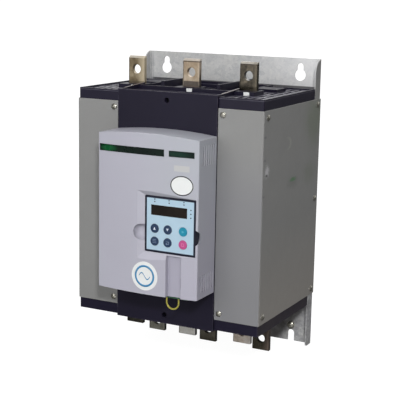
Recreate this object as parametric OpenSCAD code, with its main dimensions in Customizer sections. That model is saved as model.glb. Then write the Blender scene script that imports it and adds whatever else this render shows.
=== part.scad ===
// Three-phase motor soft starter, panel mounting.
// X runs to the right, Y runs back to the wall, Z runs up.
// The origin is the centre of the back plate's rear face.

/* [Case] */
// Width over the side panels
case_w = 285; // [280:1:292]
// Depth from the wall to the front of the side panels
case_d = 198; // [197:0.5:200]
// Underside of the side panels
panel_z0 = -132.5; // [-134:0.5:-131]
// Top of the side panels
panel_z1 = 155.8; // [155:0.1:157]
// Thickness of the painted sheet
sheet = 1.5; // [1:0.1:1.6]
// Top edge of the upper vent frame
frame_top = 170.7; // [169:0.1:172]
// Bottom edge of the lower vent frame
frame_bottom = -147.8; // [-148.5:0.1:-147]
// Half width of the centre panel
centre_hw = 76; // [75:0.5:76]

/* [Back plate] */
// Height of the back plate
plate_h = 424; // [420:1:430]
// Thickness of the galvanised sheet
plate_t = 2; // [1.5:0.1:2.5]
// Depth of the folded side flanges
flange_d = 18; // [16:0.5:19]
// Sideways distance between the fixing slots
fix_x = 220; // [210:1:224]
// Upright distance between the fixing slots
fix_z = 400; // [398:1:402]
// Width of the narrow part of the fixing slots
fix_slot = 10; // [8:0.5:10]
// Diameter of the head hole of the keyholes
fix_head = 17; // [14:0.5:18]

/* [Busbars] */
// Distance between phases
phase = 87.5; // [87:0.5:88.5]
// Width of a line bar
bar_w = 25.5; // [24:0.5:26]
// Thickness of a line bar
bar_t = 6.5; // [5:0.5:6.5]
// Width of a load or bypass bar
low_w = 26.5; // [25:0.5:27]
// Thickness of a load or bypass bar
low_t = 7; // [6:0.5:7]
// Front face of the line and load bars
bar_y = -131; // [-132:0.5:-130]
// Front face of the bypass bars
bypass_y = -64; // [-65:0.5:-63]
// Top end of the line bars
bar_top = 213; // [212:0.5:214]
// Lower end of the load bars
load_end = -180.5; // [-181:0.5:-179]
// Lower end of the bypass bars
bypass_end = -210.5; // [-212:0.5:-210]
// Diameter of the bolt hole in each bar
bar_hole = 13; // [10:0.5:13.5]

/* [Front cover] */
// Depth of the cover in front of the centre panel, at its sides
cover_d = 50; // [49.5:0.1:50.5]
// How far the cover's face bulges in its middle
cover_bulge = 3.5; // [3:0.1:4]
// Top of the cover at its sides
cover_z1 = 118.5; // [118:0.5:119]
// Bottom of the cover at its sides
cover_z0 = -93.5; // [-94:0.1:-93]
// Wall of the cover
cover_wall = 3; // [2.8:0.1:3.2]

/* [Keypad] */
// Outer width and height of the keypad
keypad_s = 76; // [75.5:0.1:76]
// Middle of the keypad, sideways
keypad_x = 34.8; // [34.6:0.1:34.9]
// Middle of the keypad, upright
keypad_z = 2.6; // [2:0.1:3]
// Diameter of a key
key_d = 12; // [11:0.5:12]
// Travel of a key
key_travel = 0.8; // [0.5:0.1:0.9]

/* [Hidden] */
$fn = 48;
eps = 0.01;
hw = case_w / 2;                 // outer half width
ihw = hw - sheet;                // half width inside the panels
fy = -case_d + sheet;            // front of the vent frames
cy = -case_d - 2;                // front of the centre panel
ct = 3;                          // wall of the centre panel
hz = plate_h / 2;
sx = cy - cover_d;               // y of the cover's front at its sides
cover_r = (76 * 76 + cover_bulge * cover_bulge) / (2 * cover_bulge);
cover_yc = sx - cover_bulge + cover_r;   // axis of the bulge
arc_top = 4.8;
arc_bot = 1;
top_r = (76 * 76 + arc_top * arc_top) / (2 * arc_top);
bot_r = (76 * 76 + arc_bot * arc_bot) / (2 * arc_bot);
kf = sx;                         // front plane of the keypad
kx0 = keypad_x - keypad_s / 2;
kx1 = keypad_x + keypad_s / 2;
kz0 = keypad_z - keypad_s / 2;
kz1 = keypad_z + keypad_s / 2;
kdepth = 21;                     // depth of the keypad module
key_x = [11.9, 31.4, 54.3];
key_z = [-3, -20.4];
led_top = [11.5, 33, 55];
led_side = [27.1, 21.8, 16.5];
sink_y = -70;                    // front of the heat sink
fan_x = 43.5;
fan_y = -54;
fan_s = 50;
load_off = [0, 4.6, 3];          // each load bar's end below load_end
bypass_off = [0, 3.2, 2.8];      // each bypass bar's end below bypass_end
line_hole = 194.5;               // heights of the terminal holes
load_hole = -166.5;
bypass_hole = -195.5;
deck_b = -141.9;                 // top of the lower deck
fan_z0 = deck_b;                 // underside of the fans
screw_front = [[-83.3, 147.5], [-83.3, -123.2], [83.3, 147.5], [83.3, -123.2]];
screw_side_f = [146.8, -122.2];  // front column, y = -186
screw_side_r = [148.2, 12, -124]; // rear column, y = -11
side_fy = -186;
side_ry = -11;

// A box given by its two corners
module box(a, b) { translate(a) cube([b[0] - a[0], b[1] - a[1], b[2] - a[2]]); }

// A cylinder whose axis runs along +Y from y0 to y1
module rod_y(x, z, y0, y1, r) { translate([x, y0, z]) rotate([-90, 0, 0]) cylinder(r = r, h = y1 - y0); }

// A cylinder whose axis runs along +X from x0 to x1
module rod_x(y, z, x0, x1, r) { translate([x0, y, z]) rotate([0, 90, 0]) cylinder(r = r, h = x1 - x0); }

// A pan head screw: the head stands on the face at the origin and looks along -Y
module pan_screw(head_r, head_h, shank_r, len) {
    difference() {
        union() {
            intersection() {
                rod_y(0, 0, -head_h, 0, head_r);
                translate([0, -head_h + head_r * 1.55, 0]) sphere(r = head_r * 1.55, $fn = 64);
            }
            rod_y(0, 0, -eps, len, shank_r);
        }
        for (a = [0, 90]) rotate([0, a, 0])
            box([-head_r * 0.6, -head_h - 1, -0.45], [head_r * 0.6, -head_h + 1.3, 0.45]);
    }
}

// ---------------------------------------------------------------- case

// Galvanised plate with two flanges folded forward, keyholes on top, open slots below
module back_plate() {
    color([0.76, 0.765, 0.77]) difference() {
        union() {
            box([-ihw, -plate_t, -hz], [ihw, 0, hz]);
            for (s = [-1, 1]) intersection() {
                box([s > 0 ? ihw - plate_t : -ihw, -flange_d, -hz], [s > 0 ? ihw : -ihw + plate_t, 0, hz]);
                translate([-hw, 0, 0]) rotate([90, 0, 90]) linear_extrude(case_w) union() {
                    translate([-flange_d, -hz + 4]) square([flange_d, plate_h - 24]);
                    translate([-flange_d + 4, -hz]) square([flange_d - 4, plate_h]);
                    translate([-flange_d + 4, -hz + 4]) circle(r = 4);
                    intersection() {
                        translate([-flange_d, hz - 20.1]) square([flange_d, 20.1]);
                        translate([-flange_d + 20, hz - 20]) circle(r = 20, $fn = 96);
                    }
                }
            }
        }
        // the plate's upper corners follow the flanges' rounding
        for (s = [-1, 1]) {
            difference() {
                translate([s > 0 ? 0 : -hw, -flange_d - 1, hz - 20]) cube([hw, flange_d - 1.5, 21]);
                translate([-hw, -flange_d + 20, hz - 20]) rotate([0, 90, 0]) cylinder(r = 20, h = case_w, $fn = 96);
            }
            // keyhole
            rod_y(s * fix_x / 2, fix_z / 2 - 12, -5, 5, fix_head / 2);
            rod_y(s * fix_x / 2, fix_z / 2, -5, 5, fix_slot / 2);
            box([s * fix_x / 2 - fix_slot / 2, -5, fix_z / 2 - 12], [s * fix_x / 2 + fix_slot / 2, 5, fix_z / 2]);
            // open slot
            rod_y(s * fix_x / 2, -fix_z / 2, -5, 5, fix_slot / 2);
            box([s * fix_x / 2 - fix_slot / 2, -5, -hz - 1], [s * fix_x / 2 + fix_slot / 2, 5, -fix_z / 2]);
            // tapped holes for the side panels' rear screws
            for (z = screw_side_r) rod_x(side_ry, z, s > 0 ? ihw - 5 : -ihw - 5, s > 0 ? ihw + 5 : -ihw + 5, 2.1);
        }
        // tapped hole of the earth screw
        rod_y(fix_x / 2 - 0.7, -188, -5, 5, 2.6);
    }
}

// One folded side panel: a narrow front and a deep side, screwed on
module side_panel(s) {
    ro = 2.2;
    ri = 0.7;
    difference() {
        translate([0, 0, panel_z0]) linear_extrude(panel_z1 - panel_z0) mirror([s > 0 ? 0 : 1, 0]) difference() {
            union() {
                translate([centre_hw + 0.3, -case_d]) square([hw - ro - centre_hw - 0.3, case_d]);
                translate([centre_hw + 0.3, -case_d + ro]) square([hw - centre_hw - 0.3, case_d - ro]);
                translate([hw - ro, -case_d + ro]) circle(r = ro);
            }
            translate([centre_hw, -case_d + sheet + ri]) square([ihw - centre_hw, case_d]);
            translate([centre_hw, -case_d + sheet]) square([ihw - ri - centre_hw, case_d]);
            translate([ihw - ri, -case_d + sheet + ri]) circle(r = ri);
        }
        for (p = screw_front) rod_y(p[0], p[1], -case_d - 5, -case_d + 5, 2.3);
        for (z = screw_side_f) rod_x(side_fy, z, s * (hw - 0.75) - 5, s * (hw - 0.75) + 5, 2.3);
        for (z = screw_side_r) rod_x(side_ry, z, s * (hw - 0.75) - 5, s * (hw - 0.75) + 5, 2.3);
    }
}
module left_side_panel() { color([0.56, 0.56, 0.56]) side_panel(-1); }
module right_side_panel() { color([0.56, 0.56, 0.56]) side_panel(1); }

// Outer ring shared by both vent frames, with the step for the centre panel
module frame_ring(z0, z1) {
    difference() {
        translate([0, 0, z0]) linear_extrude(z1 - z0) union() {
            translate([-ihw, fy + 1.5]) square([2 * ihw, -20 - fy - 1.5]);
            translate([-ihw + 1.5, fy]) square([2 * ihw - 3, 5]);
            for (s = [-1, 1]) translate([s * (ihw - 1.5), fy + 1.5]) circle(r = 1.5);
        }
        box([-ihw + 3, fy + 3, z0 - 1], [ihw - 3, -23, z1 + 1]);
        box([-centre_hw - 0.2, fy - 1, z0 - 1], [centre_hw + 0.2, cy + 15.2, z1 + 1]);
    }
    box([-centre_hw - 3.2, cy + 15.2, z0], [centre_hw + 3.2, cy + 18.2, z1]);
    for (s = [-1, 1]) box([s > 0 ? centre_hw + 0.2 : -centre_hw - 3.2, fy, z0], [s > 0 ? centre_hw + 3.2 : -centre_hw - 0.2, cy + 18.2, z1]);
}

// Rows of air slots that run front to back
module slot_rows(x0, x1, y0, y1, z0, z1, w, pitch, rows) {
    n = floor((x1 - x0 - w) / pitch);
    off = ((x1 - x0) - (n * pitch + w)) / 2;
    len = (y1 - y0 - (rows - 1) * 5) / rows;
    for (i = [0 : n], j = [0 : rows - 1])
        box([x0 + off + i * pitch, y0 + j * (len + 5), z0], [x0 + off + i * pitch + w, y0 + j * (len + 5) + len, z1]);
}

// Upper moulded frame: rim, slotted deck, collars round the bars, phase barriers
module top_frame() {
    z0 = 138;
    deck = 164.5;
    side_deck = 168.6;
    collar = 174.5;
    color([0.17, 0.165, 0.2]) difference() {
        union() {
            frame_ring(z0, frame_top);
            // low deck between the two long ribs
            difference() {
                box([-centre_hw, cy + 18, deck - 2.5], [centre_hw, -22, deck]);
                for (s = [-1, 1]) {
                    slot_rows(s > 0 ? 48 : -69, s > 0 ? 69 : -48, -116, -28, deck - 4, deck + 1, 5, 9.4, 3);
                    slot_rows(s > 0 ? 21 : -41, s > 0 ? 41 : -21, -144, -28, deck - 4, deck + 1, 5, 9.4, 4);
                    slot_rows(s > 0 ? 1 : -17, s > 0 ? 17 : -1, -114, -28, deck - 4, deck + 1, 5, 9.4, 3);
                    slot_rows(s > 0 ? 12 : -70, s > 0 ? 70 : -12, -178, -154, deck - 4, deck + 1, 5, 9.4, 1);
                }
            }
            // outer decks, almost level with the rim
            for (s = [-1, 1]) difference() {
                box([s > 0 ? centre_hw - 1 : -ihw + 2, cy + 15.2, side_deck - 2.5], [s > 0 ? ihw - 2 : -centre_hw + 1, -22, side_deck]);
                slot_rows(s > 0 ? 81 : -137, s > 0 ? 137 : -81, -181, -155, side_deck - 4, side_deck + 1, 5, 10, 1);
                slot_rows(s > 0 ? 108 : -137, s > 0 ? 137 : -108, -148, -26, side_deck - 4, side_deck + 1, 5, 10, 4);
                slot_rows(s > 0 ? 78 : -106, s > 0 ? 106 : -78, -115, -90, side_deck - 4, side_deck + 1, 5, 10, 1);
                slot_rows(s > 0 ? 78 : -106, s > 0 ? 106 : -78, -46, -26, side_deck - 4, side_deck + 1, 5, 10, 1);
            }
            for (s = [-1, 1])
                box([s > 0 ? centre_hw + 3 : -ihw + 2, fy + 2, side_deck - 2.5], [s > 0 ? ihw - 2 : -centre_hw - 3, cy + 16, side_deck]);
            // long ribs along the sides of the centre section, rising to the collars
            for (s = [-1, 1]) {
                translate([s > 0 ? centre_hw - 3 : -centre_hw, 0, 0]) rotate([90, 0, 90]) linear_extrude(3)
                    polygon([[cy + 15.2, z0], [-132.2, z0], [-132.2, 176.6], [cy + 15.2, 173.4]]);
                box([s > 0 ? centre_hw - 3 : -centre_hw, -119.5, z0], [s > 0 ? centre_hw : -centre_hw + 3, -22, 173.2]);
            }
            // cross wall that carries the phase labels
            box([-centre_hw, -150, z0], [centre_hw, -147, collar]);
            // collar round each line bar
            for (i = [-1 : 1]) box([i * phase - 18, -150, 158], [i * phase + 18, -119, collar]);
            // closed humps behind the outer bars
            for (s = [-1, 1]) box([s > 0 ? centre_hw - 1 : -phase - 22, -84, side_deck - 1], [s > 0 ? phase + 22 : -centre_hw + 1, -52, 173]);
            // phase barriers with a thicker front post
            for (s = [-1, 1]) {
                box([s * phase / 2 - 1.5, -147.5, z0], [s * phase / 2 + 1.5, -22, 172.6]);
                box([s * phase / 2 - 1.5, -131, 170], [s * phase / 2 + 1.5, -22, 180]);
                box([s * phase / 2 - 2.6, -133, z0], [s * phase / 2 + 2.6, -128, 180.3]);
            }
            // raised rear rim of the centre section
            box([-centre_hw, -23, z0], [centre_hw, -20, 172.6]);
            // lugs for the front screws
            for (x = [-83.3, 83.3]) box([x - 5, fy, 140], [x + 5, fy + 12, 155]);
        }
        // slots for the bars and the hollow of each collar
        for (i = [-1 : 1]) {
            box([i * phase - bar_w / 2 - 0.3, bar_y - 0.3, z0 - 1], [i * phase + bar_w / 2 + 0.3, bar_y + bar_t + 0.3, 190]);
            box([i * phase - 15.5, -144.5, 156], [i * phase + 15.5, -121.5, 169.5]);
            box([i * phase - 15.5, bar_y - 0.3, 169], [i * phase + 15.5, -121.5, 175]);
        }
        for (p = screw_front) if (p[1] > 0) rod_y(p[0], p[1], fy - 1, fy + 8, 2.1);
        for (s = [-1, 1]) rod_x(side_fy, screw_side_f[0], s * ihw - 6, s * ihw + 6, 2.1);
        rod_y(0, frame_top - 9, cy + 10, cy + 22, 2.1);
    }
}

// Lower moulded frame: rim, slotted deck, fan grilles, passages for the bars
module bottom_frame() {
    z1 = -112;
    top = deck_b;
    color([0.15, 0.145, 0.18]) difference() {
        union() {
            frame_ring(frame_bottom, z1);
            difference() {
                union() {
                    box([-ihw + 3, cy + 18, top - 2.5], [ihw - 3, -22, top]);
                    for (s = [-1, 1]) box([s > 0 ? centre_hw + 3 : -ihw + 3, fy + 3, top - 2.5], [s > 0 ? ihw - 3 : -centre_hw - 3, cy + 19, top]);
                }
                for (s = [-1, 1]) {
                    slot_rows(s > 0 ? 107 : -136, s > 0 ? 136 : -107, -188, -30, top - 4, top + 1, 6, 9.4, 5);
                    slot_rows(s > 0 ? 20 : -67, s > 0 ? 67 : -20, -176, -92, top - 4, top + 1, 6, 9.4, 3);
                    translate([s * fan_x, fan_y, top - 4]) cylinder(d = fan_s - 3, h = 6, $fn = 96);
                }
            }
            // finger guards: rings and spokes under each fan
            for (s = [-1, 1]) translate([s * fan_x, fan_y, top - 2.5]) {
                for (r = [9, 14.5, 20]) difference() {
                    cylinder(r = r + 1, h = 2.5, $fn = 64);
                    translate([0, 0, -1]) cylinder(r = r - 1, h = 5, $fn = 64);
                }
                for (a = [0 : 90 : 270]) rotate([0, 0, a]) box([8.6, -1, 0.2], [fan_s / 2 + 0.6, 1, 2.3]);
            }
            // collars round the bars
            for (i = [-1 : 1]) {
                box([i * phase - 16, bar_y - 4, frame_bottom + 2], [i * phase + 16, bar_y + low_t + 4, -128]);
                box([i * phase - 15.2, bypass_y - 2.4, frame_bottom + 2], [i * phase + 15.2, bypass_y + low_t + 2.4, -128]);
            }
            for (x = [-83.3, 83.3]) box([x - 5, fy, -131], [x + 5, fy + 12, -114]);
        }
        for (i = [-1 : 1]) {
            box([i * phase - low_w / 2 - 0.3, bar_y - 0.3, -160], [i * phase + low_w / 2 + 0.3, bar_y + low_t + 0.3, -100]);
            box([i * phase - low_w / 2 - 0.3, bypass_y - 0.3, -160], [i * phase + low_w / 2 + 0.3, bypass_y + low_t + 0.3, -100]);
        }
        for (p = screw_front) if (p[1] < 0) rod_y(p[0], p[1], fy - 1, fy + 8, 2.1);
        for (s = [-1, 1]) rod_x(side_fy, screw_side_f[1], s * ihw - 6, s * ihw + 6, 2.1);
        rod_y(0, frame_bottom + 10.6, cy + 10, cy + 22, 2.1);
    }
}

// Moulded centre panel, a little proud of the side panels
module centre_panel() {
    zt = 172.9;
    zb = -149.5;
    color([0.18, 0.175, 0.21]) difference() {
        union() {
            box([-centre_hw, cy, zb], [centre_hw, cy + ct, zt]);
            for (s = [-1, 1]) box([s > 0 ? centre_hw - 3 : -centre_hw, cy, zb], [s > 0 ? centre_hw : -centre_hw + 3, cy + 15, zt]);
            for (z = [frame_top - 9, frame_bottom + 10.6]) rod_y(0, z, cy, cy + 15, 5.5);
        }
        box([-62, cy - 1, -82], [62, cy + ct + 1, 104]);
        for (z = [frame_top - 9, frame_bottom + 10.6]) {
            rod_y(0, z, cy - 1, cy + 8, 3.6);
            rod_y(0, z, cy - 1, cy + 16, 2.3);
        }
        for (x = [-67, 67], z = [-74, 96]) rod_y(x, z, cy - 1, cy + ct + 1, 1.6);
        // relief behind the top edge
        box([-60, cy + 3, zt - 2], [60, cy + 16, zt + 1]);
    }
}

// ---------------------------------------------------------------- front cover

// The cover's outer form, shrunk by g on every side
module cover_form(g, y1) {
    hw = centre_hw - g;
    cf = cover_yc - sqrt((cover_r - g) * (cover_r - g) - hw * hw);
    intersection() {
        // plan with small rounded front corners
        translate([0, 0, -150]) linear_extrude(300)
            polygon([[-hw, y1], [-hw, cf + 1.6], [-hw + 0.5, cf + 0.5], [-hw + 1.6, cf], [-hw + 1.6, sx - 20],
                [hw - 1.6, sx - 20], [hw - 1.6, cf], [hw - 0.5, cf + 0.5], [hw, cf + 1.6], [hw, y1]]);
        rod_y(0, cover_z1 + arc_top - top_r, sx - 30, y1 + 30, top_r - g, $fn = 720);
        rod_y(0, cover_z0 - arc_bot + bot_r, sx - 30, y1 + 30, bot_r - g, $fn = 1440);
        translate([0, cover_yc, -160]) cylinder(r = cover_r - g, h = 320, $fn = 720);
    }
}

// A thin layer that lies on the cover's curved face
module on_face(t) {
    intersection() {
        children();
        difference() {
            translate([0, cover_yc, -160]) cylinder(r = cover_r + t, h = 320, $fn = 720);
            translate([0, cover_yc, -161]) cylinder(r = cover_r, h = 322, $fn = 720);
        }
    }
}

// Moulded front cover: arched, with the keypad pocket, its bevelled surround,
// two finger notches, the wiring channel and the side vents
module front_cover() {
    w = cover_wall;
    color([0.71, 0.705, 0.76]) difference() {
        union() {
            difference() {
                cover_form(0, cy);
                cover_form(w, cy + 1);
            }
            intersection() {
                cover_form(0.5, cy);
                union() {
                    // keypad pocket and its floor
                    box([kx0 - 2.6, sx - 10, kz0 - 2.6], [kx1 + 2.6, kf + kdepth + 4, kz1 + 2.6]);
                    // surround of the keypad
                    box([kx0 - 13, sx - 10, kz0 - 14], [kx1 + 2.6, sx + 5, kz1 + 9]);
                    // left finger scoop
                    box([kx0 - 19, sx - 10, -24], [kx0 + 1, sx + 12, 4]);
                    // wiring channel
                    box([27.8, sx - 10, -110], [55, sx + 7, kz0]);
                }
            }
        }
        // pocket
        box([kx0 - 0.3, sx - 10, kz0 - 0.3], [kx1 + 0.3, kf + kdepth + 1.5, kz1 + 0.3]);
        // passage for the keypad's plug
        box([22, sx + 15, -4], [48, sx + 40, 8]);
        // bevelled surround: wide on the left, running out to the right
        hull() {
            box([kx0 - 0.3, kf + 0.4, kz0 - 0.3], [kx1 + 0.3, kf + 0.5, kz1 + 0.3]);
            translate([0, sx - 5, 0]) rotate([90, 0, 0]) linear_extrude(0.1)
                polygon([[kx0 - 14, kz0 - 14.5], [kx1, kz0 - 0.6], [kx1, kz1 + 0.6], [kx0 - 14, kz1 + 8.5]]);
        }
        // finger scoop on the left
        translate([kx0 - 5.3, sx - 1.5, -9.8]) sphere(r = 10.9, $fn = 64);
        rod_x(sx - 1.5, -9.8, kx0 - 5.3, kx0 + 1, 10.9);
        // finger notch on the right, through the corner
        translate([68, sx + 0.5, -9.3]) sphere(r = 11.4, $fn = 64);
        // wiring channel, open at the bottom
        box([30.4, sx - 10, -110], [52.4, sx + 4, -37.8]);
        // mouth for the terminal block in the cover's bottom wall
        box([20.5, sx + 7.2, -110], [60.5, cy + 1, -80]);
        box([20.5, sx + 5.6, -110], [60.5, sx + 8, -92]);
        // side vents
        for (i = [0 : 5], s = [-1, 1]) {
            box([s > 0 ? 70 : -80, sx + 11 + i * 6.2, 84], [s > 0 ? 80 : -70, sx + 13.2 + i * 6.2, 110]);
            box([s > 0 ? 70 : -80, sx + 8 + i * 6.8, -85], [s > 0 ? 80 : -70, sx + 10.2 + i * 6.8, -62]);
        }
    }
}

module name_strip_left() { color([0.06, 0.13, 0.1]) on_face(0.4) box([-73.3, sx - 10, 94.6], [26.2, sx + 5, 103.8]); }
module name_strip_right() { color([0.07, 0.2, 0.14]) on_face(0.4) box([33.3, sx - 10, 95.2], [69.6, sx + 5, 103.2]); }

// Blank oval sticker with a ring
module oval_sticker() {
    color([0.88, 0.88, 0.86]) on_face(0.25)
        translate([52.5, sx + 5, 58.3]) rotate([90, 0, 0]) linear_extrude(15)
            polygon([for (i = [0 : 71]) [16.6 * cos(i * 5), 12.9 * sin(i * 5)]]);
}

// Round sticker
module round_sticker() { color([0.88, 0.89, 0.91]) on_face(0.25) rod_y(-1.1, -69.3, sx - 10, sx + 5, 19.8, $fn = 96); }

// ---------------------------------------------------------------- keypad

// Dark keypad case with a raised border
module keypad_housing() {
    color([0.14, 0.15, 0.24]) difference() {
        box([kx0, kf, kz0], [kx1, kf + kdepth, kz1]);
        box([kx0 + 1.6, kf - 1, kz0 + 1.6], [kx1 - 1.6, kf + 0.6, kz1 - 1.6]);
        box([kx0 + 2, kf + 2.6, kz0 + 2], [kx1 - 2, kf + kdepth - 1.8, kz1 - 2]);
        for (x = key_x, z = key_z) rod_y(x, z, kf - 1, kf + 4, key_d / 2 + 0.35);
        box([6.1, kf - 1, 14.9], [59.9, kf + 4, 28.8]);
        for (x = led_top) rod_y(x, 33, kf - 1, kf + 4, 1.2);
        for (z = led_side) rod_y(65.3, z, kf - 1, kf + 4, 1.2);
        box([26, kf + kdepth - 3, -2], [44, kf + kdepth + 1, 6]);
        // rounded outer corners
        for (p = [[kx0, kz0, 0], [kx1, kz0, 90], [kx1, kz1, 180], [kx0, kz1, 270]])
            translate([p[0], kf - 1, p[1]]) rotate([0, -p[2], 0]) difference() {
                box([-1, 0, -1], [2, kdepth + 2, 2]);
                rod_y(2, 2, -1, kdepth + 3, 2);
            }
    }
}

// Printed front sheet
module keypad_overlay() {
    color([0.7, 0.82, 0.88]) difference() {
        box([kx0 + 1.8, kf, kz0 + 1.8], [kx1 - 1.8, kf + 0.6, kz1 - 1.8]);
        for (x = key_x, z = key_z) rod_y(x, z, kf - 1, kf + 4, key_d / 2 + 0.3);
        box([6.1, kf - 1, 14.9], [59.9, kf + 4, 28.8]);
        for (x = led_top) rod_y(x, 33, kf - 1, kf + 4, 1);
        for (z = led_side) rod_y(65.3, z, kf - 1, kf + 4, 1);
    }
}

module display_window() { color([0.12, 0.08, 0.07]) box([6.2, kf, 15], [59.8, kf + 1.6, 28.7]); }

// Four-digit display block on the keypad's board
module display_module() {
    color([0.16, 0.14, 0.14]) difference() {
        box([8, kf + 2.8, 15.5], [58, kf + 8.2, 28]);
        for (i = [0 : 3]) translate([14.2 + i * 12.5, kf + 2.8, 21.7]) {
            for (z = [-4.4, 0, 4.4]) box([-2.4, -0.1, z - 0.4], [2.4, 0.3, z + 0.4]);
            for (x = [-3.1, 3.1], z = [0.6, -3.8]) box([x - 0.4, -0.1, z], [x + 0.4, 0.3, z + 3.2]);
        }
    }
}

// Six indicator lamps
module status_leds() {
    color([0.25, 0.25, 0.3]) {
        for (x = led_top) rod_y(x, 33, kf, kf + 8.2, 0.85);
        for (z = led_side) rod_y(65.3, z, kf, kf + 8.2, 0.85);
    }
}

// Keypad circuit board with its switches and plug
module keypad_board() {
    color([0.1, 0.32, 0.16]) {
        difference() {
            box([kx0 + 2.4, kf + 8.2, kz0 + 2.4], [kx1 - 2.4, kf + 9.8, kz1 - 2.4]);
            for (x = [kx0 + 5, kx1 - 5], z = [kz0 + 5, kz1 - 5]) rod_y(x, z, kf + 7, kf + 11, 1.6);
        }
        for (x = key_x, z = key_z) {
            box([x - 3, kf + 6.4, z - 3], [x + 3, kf + 8.3, z + 3]);
            rod_y(x, z, kf + 5.4, kf + 6.5, 1.6);
        }
        box([27, kf + 9.7, -1], [43, kf + kdepth - 0.5, 5]);
        for (x = [8, 20, 50, 60]) box([x - 3.5, kf + 9.7, 14], [x + 3.5, kf + 11.5, 20]);
    }
}

// One key: a round cap with a collar behind the case front and a stem
module key(x, z) {
    rod_y(x, z, kf - 0.9, kf + 3, key_d / 2);
    rod_y(x, z, kf + 2.9, kf + 3.7, key_d / 2 + 1);
    rod_y(x, z, kf + 3.6, kf + 4.3, 1.5);
}
module key_up() { color([0.14, 0.2, 0.33]) key(key_x[0], key_z[0]); }
module key_down() { color([0.14, 0.2, 0.33]) key(key_x[1], key_z[0]); }
module key_menu() { color([0.14, 0.2, 0.33]) key(key_x[0], key_z[1]); }
module key_return() { color([0.14, 0.2, 0.33]) key(key_x[1], key_z[1]); }
module key_start() { color([0.1, 0.55, 0.66]) key(key_x[2], key_z[0]); }
module key_stop() { color([0.8, 0.3, 0.55]) key(key_x[2], key_z[1]); }

// ---------------------------------------------------------------- control side

// Green control terminal block, six ways, with clamp screws in front
module control_terminal() {
    color([0.18, 0.42, 0.26]) difference() {
        box([21.5, sx + 7.4, -97.3], [59.5, sx + 33.4, -83]);
        for (i = [0 : 5]) {
            rod_y(25.5 + i * 6, -89.8, sx + 7, sx + 10, 2.1);
            translate([25.5 + i * 6, sx + 11, -99]) cylinder(r = 1.35, h = 9, $fn = 24);
            if (i < 5) box([28.3 + i * 6, sx + 7, -99], [28.7 + i * 6, sx + 8, -82]);
        }
    }
}

// Wire link between two ways of the terminal block
module jumper_wire() {
    r = 1.15;
    color([0.75, 0.68, 0.2]) {
        for (x = [25.5, 43.5]) translate([x, sx + 11, -104.5]) cylinder(r = r, h = 14, $fn = 24);
        translate([34.5, sx + 11, -104.5]) rotate([-90, 0, 0]) rotate_extrude(angle = 180, $fn = 72)
            translate([9, 0]) circle(r = r, $fn = 24);
    }
}

// Main control board with its larger parts
module control_board() {
    y = cy - 15;
    color([0.12, 0.34, 0.2]) {
        difference() {
            box([-70, y - 1.6, -84], [70, y, 106]);
            for (x = [-67, 67], z = [-74, 96]) rod_y(x, z, y - 4, y + 2, 1.7);
        }
        // relays, capacitors, chips and the display socket
        for (i = [0 : 2]) box([-62 + i * 18, y - 15.5, -70], [-47 + i * 18, y - 1.5, -50]);
        for (p = [[-55, 60, 6], [-38, 60, 6], [-55, 80, 5]]) rod_y(p[0], p[1], y - 20, y - 1.5, p[2]);
        box([-48, y - 4, 5], [-24, y - 1.5, 29]);
        box([-60, y - 3.6, -20], [-42, y - 1.5, -12]);
        for (i = [0 : 3]) box([0 + i * 15, y - 3.6, 60], [9 + i * 15, y - 1.5, 78]);
        box([28, y - 9, -2], [42, y - 1.5, 6]);
        box([-8, y - 0.1, -6], [14, y + 7, 0]);
    }
}

// Spacers between the centre panel and the control board, with their screws
module board_standoffs() {
    color([0.8, 0.78, 0.7]) for (x = [-67, 67], z = [-74, 96]) {
        translate([x, 0, z]) rotate([0, 0, 0]) translate([0, cy - 15, 0]) rotate([-90, 0, 0]) cylinder(r = 3.2, h = 15, $fn = 6);
        rod_y(x, z, cy - 18.6, cy - 14, 1.5);
        rod_y(x, z, cy - 18.6, cy - 16.6, 2.9);
        rod_y(x, z, cy - 1, cy + 5, 1.5);
        rod_y(x, z, cy + ct, cy + ct + 2.2, 2.9);
    }
}

// Flat white plates on the cross wall, one a phase
module phase_labels() {
    color([0.85, 0.85, 0.88]) for (x = [-80.6, 7.5, 94]) box([x - 4.2, -150.6, 169.4], [x + 4.2, -150, 174]);
}

// ---------------------------------------------------------------- power side

// A bar end with its bolt hole; dir is 1 for a bar that ends at the top, -1 at the bottom
module bar_leg(x, y, w, t, za, zb, zh, dir) {
    tip = dir > 0 ? zb : za;
    c = dir > 0 ? 3 : 1;
    difference() {
        box([x - w / 2, y, za], [x + w / 2, y + t, zb]);
        rod_y(x, zh, y - 1, y + t + 1, bar_hole / 2);
        // bevel along the front edge of the tip
        translate([x - w / 2 - 1, 0, 0]) rotate([90, 0, 90]) linear_extrude(w + 2)
            polygon([[y - 1, tip - dir * (c + 1)], [y + c + 1, tip + dir], [y - 1, tip + dir]]);
    }
}

// Line bar: up through the top frame, back to the module's upper terminal
module line_bar(i) {
    x = i * phase;
    difference() {
        union() {
            bar_leg(x, bar_y, bar_w, bar_t, 50, bar_top, line_hole, 1);
            box([x - bar_w / 2, bar_y, 50], [x + bar_w / 2, -104, 56]);
            box([x - bar_w / 2, -110, 14], [x + bar_w / 2, -104, 56]);
        }
        rod_y(x, 28, -112, -100, 4.4);
    }
}
// Load bar: in front of the bypass bar, down through its current transformer
module load_bar(i) {
    x = i * phase;
    difference() {
        union() {
            bar_leg(x, bar_y, low_w, low_t, load_end - load_off[i + 1], -58, load_hole, -1);
            box([x - low_w / 2, bar_y, -64], [x + low_w / 2, -110, -58]);
            box([x - low_w / 2, -116, -64], [x + low_w / 2, -110, -30]);
        }
        rod_y(x, -42, -120, -100, 4.4);
    }
}
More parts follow.
